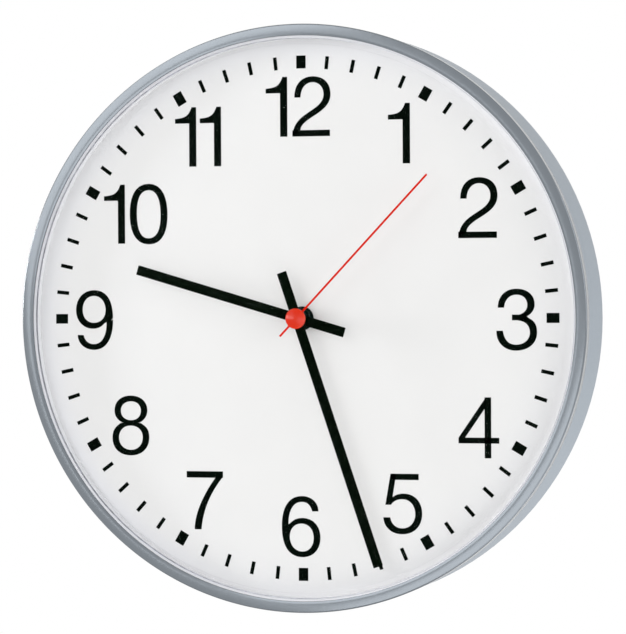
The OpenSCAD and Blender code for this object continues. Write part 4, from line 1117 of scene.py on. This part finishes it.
@dataclass
class DialFace:
    """White dial with printed figures and minute strokes, and the white ring over its edge."""

    ink: float = 0.08

    def figures(self) -> None:
        """Prints the twelve hour figures."""
        for hour, marks in HOURS.items():
            piece = Body("hour_figure_" + hour)
            for figure, x, y in marks:
                for stroke in FIGURES[figure]:
                    piece.add(stroke.grid((x, y), DIAL_Z, self.ink), ring_rows=stroke.ring)
            piece.build("frame", DIAL_INK)

    def build(self) -> None:
        """Prints the figures and dresses the dial's parts."""
        self.figures()
        dress("minute_marks", finish=DIAL_INK)
        dress("dial", finish=DIAL_WHITE)
        dress("spacer_ring", finish=RIM_WHITE)
        dress("dial_seat_ring", finish=ZINC)


# Dome


@dataclass
class DomeCover:
    """Clear blown dome with a square shoulder, and the pale seal round its foot.

    The corners of the seal are its radius, its height and the reach of its easing.
    """

    dome_r: float = 142.0
    wall: float = 1.8
    rise: float = 10.005
    power: float = 0.25
    steps: int = 56
    flange_r: float = 145.6
    flange_z: float = 39.0
    top_z: float = 40.8
    edge: float = 0.2
    seal_corners: tuple[Corner, ...] = (
        (142.9, 40.82, 0.05), (142.9, 41.08, 0.1), (143.2, 41.1, 0.08), (143.45, 40.94, 0.1),
        (143.7, 41.02, 0.12), (144.1, 41.19, 0.2), (146.2, 41.19, 0.05), (146.2, 40.82, 0.05),
    )

    def skin(self, rim: float, low: float) -> np.ndarray:
        """Outline of one face of the dome, from its rim to its middle.

        At the radius r it stands off the wall by low + rise (1 - (r / rim)^2)^power.

        Args:
            rim: radius of the face's rim.
            low: how far that rim stands off the wall.

        Returns:
            The outline's (radius, height) points.
        """
        s = 1 - (1 - np.linspace(0.0, 1.0, self.steps)) ** 2
        angle = s * math.pi / 2
        r = rim * np.sin(math.pi / 2 - angle)
        return np.stack([r, low + self.rise * np.sin(angle) ** (2 * self.power)], -1)

    def seal(self) -> None:
        """Lays the pale seal under the bezel's lip, with a bead along the foot of the dome."""
        piece = Body("lens_seal")
        piece.add(turned(rounded(self.seal_corners, 5), FINE_TURN))
        piece.build("frame", SEAL_PALE, ["lens_gasket"])

    def build(self) -> None:
        """Blows the dome as one closed shell and lays its seal."""
        outer = self.skin(self.dome_r, self.top_z)
        inner = self.skin(self.dome_r - self.wall, self.flange_z)[::-1]
        flange = np.array([[self.flange_r - self.edge, self.flange_z],
                           [self.flange_r, self.flange_z + self.edge],
                           [self.flange_r, self.top_z - self.edge],
                           [self.flange_r - self.edge, self.top_z]])
        piece = Body("dome")
        piece.add(turned(np.concatenate([outer, inner, flange]), FINE_TURN))
        piece.build("frame", DOME_CLEAR, ["lens"])
        self.seal()


# Hands


@dataclass(frozen=True)
class Hub:
    """A flat ring round the axis that carries a hand."""

    outer: float
    inner: float
    low: float
    high: float
    hole_ease: float = 0.06
    rim_ease: float = 0.08

    def grid(self) -> np.ndarray:
        """The ring as a grid of points, with its edges eased."""
        corners = [(self.inner, self.low, self.hole_ease),
                   (self.outer, self.low, self.rim_ease),
                   (self.outer, self.high, self.rim_ease),
                   (self.inner, self.high, self.hole_ease)]
        return turned(rounded(corners, 4), PLAIN_TURN)


@dataclass(frozen=True)
class Hand:
    """One straight hand: its bar on each side of the axis and the rings of its hub.

    The angle is in degrees clockwise from 12 o'clock. Tail, tip and gap are distances
    from the axis, and low is how far the bar's back stands off the wall.
    """

    name: str
    body: str
    node: str
    finish: Finish
    angle: float
    tail: float
    tip: float
    gap: float
    width: float
    low: float
    thick: float
    hubs: tuple[Hub, ...]
    ease: float = 0.08

    def blade(self, start: float, end: float) -> np.ndarray:
        """A straight bar that lies along the hand's angle.

        Each cross section is a box with its four edges eased by a twelfth of a
        millimetre, and the two ends are eased in the same way.

        Args:
            start: distance of its first end from the axis, below 0 on the tail's side.
            end: distance of its other end.

        Returns:
            A grid of points along the bar by its cross section.
        """
        half, back, front = self.width / 2, self.low, self.low + self.thick
        box = [(-half, back), (half, back), (half, front), (-half, front)]
        section = rounded([(*corner, self.ease) for corner in box], 4)
        middle = np.array([0.0, self.low + self.thick / 2])
        along = np.array([start, start + self.ease, end - self.ease, end])
        shrink = np.array([self.ease, 0.0, 0.0, self.ease])[:, None, None]
        side = section[None] - np.sign(section - middle)[None] * shrink
        s, c = math.sin(math.radians(self.angle)), math.cos(math.radians(self.angle))
        x = along[:, None] * s + side[..., 0] * c
        z = along[:, None] * c - side[..., 0] * s
        return np.stack([x, -side[..., 1], z], -1)

    def build(self) -> None:
        """Makes the hand from its tail, its pointing bar and its hub."""
        piece = Body(self.name)
        piece.add(self.blade(-self.tail, -self.gap), ring_rows=False)
        piece.add(self.blade(self.gap, self.tip), ring_rows=False)
        for hub in self.hubs:
            piece.add(hub.grid())
        piece.build(self.body, self.finish, [self.node])


HOUR_HAND = Hand(
    "hour_hand_bar", "hours", "hour_hand", HAND_BLACK, angle=286.3, tail=25.5, tip=90.0, gap=3.0,
    width=5.0, low=41.2, thick=0.8, hubs=(Hub(4.6, 2.42, 41.18, 42.03), Hub(3.6, 2.42, 38.3, 41.3)),
)
MINUTE_HAND = Hand(
    "minute_hand_bar", "minutes", "minute_hand", HAND_BLACK, angle=161.3, tail=24.8, tip=132.5,
    gap=2.2, width=5.0, low=43.5, thick=0.8, hubs=(Hub(3.8, 1.52, 42.5, 44.33),),
)
SECONDS_HAND = Hand(
    "seconds_hand_bar", "seconds", "second_hand", HAND_RED, angle=43.6, tail=12.5, tip=100.0,
    gap=1.0, width=1.0, low=44.9, thick=0.5, hubs=(Hub(2.0, 0.62, 44.88, 45.4),),
)


@dataclass
class Hands:
    """Two straight black hands, a thin red seconds hand and its turned red cap."""

    hands: tuple[Hand, ...] = (HOUR_HAND, MINUTE_HAND, SECONDS_HAND)
    grooves: int = 44
    grooved_r: float = 5.06
    groove_slope: float = 0.6
    cap_z: float = 46.68
    cap_turn: int = 144

    def cap(self) -> None:
        """Turns the red cap: its face carries fine grooves with flanks of a constant slope.

        Its outline then runs round the rim to the back and into the arbor's hole.
        """
        r = np.linspace(0.0, self.grooved_r, 2 * self.grooves + 1)
        valley = np.arange(r.size) % 2
        deep = self.groove_slope * self.grooved_r / (2 * self.grooves)
        face = np.stack([r, self.cap_z - deep * valley], -1)
        rim = np.array([[5.12, 46.64], [5.18, 46.56], [5.2, 46.45], [5.2, 45.55], [5.17, 45.45],
                        [5.1, 45.41], [0.62, 45.41], [0.62, 46.2], [0.0, 46.2]])
        piece = Body("turned_cap")
        piece.add(turned(np.concatenate([face, rim]), self.cap_turn), ring_cols=False)
        piece.build("seconds", CAP_RED, ["hub_cap"])

    def build(self) -> None:
        """Makes the three hands and the cap."""
        for hand in self.hands:
            hand.build()
        self.cap()


# Movement and back


@dataclass
class Movement:
    """Stepping movement between its plates, from the motor to the hand tubes."""

    bore_r: float = 4.05
    bore_chamfer: float = 0.25
    across_r: float = 5.0
    corner_cut: float = 0.62
    cone_in: float = 0.1
    cone_slope: float = 1.25
    nut_angle: float = 5.0
    nut_top: float = 37.4
    nut_turn: int = 192
    flange_r: float = 6.15
    flange_thick: float = 0.8
    flange_turn: int = 128
    clear: float = 0.01
    overlap: float = 0.02

    def nut(self) -> None:
        """Makes the black nut: a hexagon cut back by a cone, on a round flange.

        At the angle t its flats lie at r = across / cos(t - nearest flat), and the
        cone keeps the corners within a circle that narrows towards the front.
        """
        t = np.linspace(0.0, 2 * math.pi, self.nut_turn, endpoint=False)[:, None]
        away = (t + math.radians(self.nut_angle)) % (math.pi / 3) - math.pi / 6
        flat = self.across_r / np.cos(away)
        low, top = DIAL_Z + self.flange_thick, self.nut_top
        drop = np.array([0.0, 0.1, 0.25, 0.45, 0.7, 1.0])
        head = np.minimum(flat, self.across_r - self.cone_in + self.cone_slope * drop)
        foot = np.minimum(flat, self.across_r + self.corner_cut)
        bore = np.full(t.shape, self.bore_r)
        r = np.concatenate([bore, bore + self.bore_chamfer, head, foot, bore], 1)
        h = np.concatenate([[top - self.bore_chamfer, top], top - drop, [low, low]])
        piece = Body("hand_nut")
        piece.add(around(t, r, h))
        back, front = DIAL_Z + self.clear, low + self.overlap
        flange = [(self.bore_r, back, 0.02), (self.flange_r, back, 0.1),
                  (self.flange_r, front, 0.25), (self.bore_r, front, 0.02)]
        piece.add(turned(rounded(flange, 5), self.flange_turn))
        piece.build("frame", NUT_BLACK, ["fixing_nut"])

    def build(self) -> None:
        """Makes the nut and dresses plates, wheels, arbors, motor and circuit."""
        self.nut()
        dress("front_plate", "middle_plate", "rear_plate", "pillars",
              "intermediate_wheel", "seconds_wheel", "third_wheel", "centre_wheel",
              "motion_wheel", "hour_wheel", "stator_posts", "terminal_screws", finish=BRASS)
        dress("movement_screws", "motion_stud", "stator_screws", "rotor_arbor",
              "intermediate_arbor", "seconds_arbor", "third_arbor", "setting_arbor",
              "cannon_pinion", finish=STEEL)
        dress("stator", "coil_core", finish=CORE)
        dress("coil_winding", finish=COPPER)
        dress("coil_bobbin", "terminal_block", finish=IVORY)
        dress("circuit_board", finish=BOARD)
        dress("board_components", finish=CHIP)
        dress("lead_wires", finish=LEAD)
        dress("rotor_magnet", finish=MAGNET)
        dress("seal_washer", "cable_grommet", finish=RUBBER)
        dress("fixing_bushing", finish=NUT_BLACK)


@dataclass
class BackFittings:
    """Back plate, its screws, the wall bracket and the setting knob."""

    def build(self) -> None:
        """Dresses the parts at the wall side."""
        dress("back_plate", "back_plate_screws", "wall_bracket", finish=ZINC)
        dress("setting_knob", finish=KNOB)


def main() -> None:
    """Sets up the studio and builds each sub-assembly in order."""
    logging.basicConfig(level=logging.INFO, format="%(message)s")
    Studio().build()
    for part in (CaseShell(), DialFace(), DomeCover(), Hands(), Movement(), BackFittings()):
        part.build()
        LOG.info("finished %s", type(part).__name__)


if __name__ == "__main__":
    main()
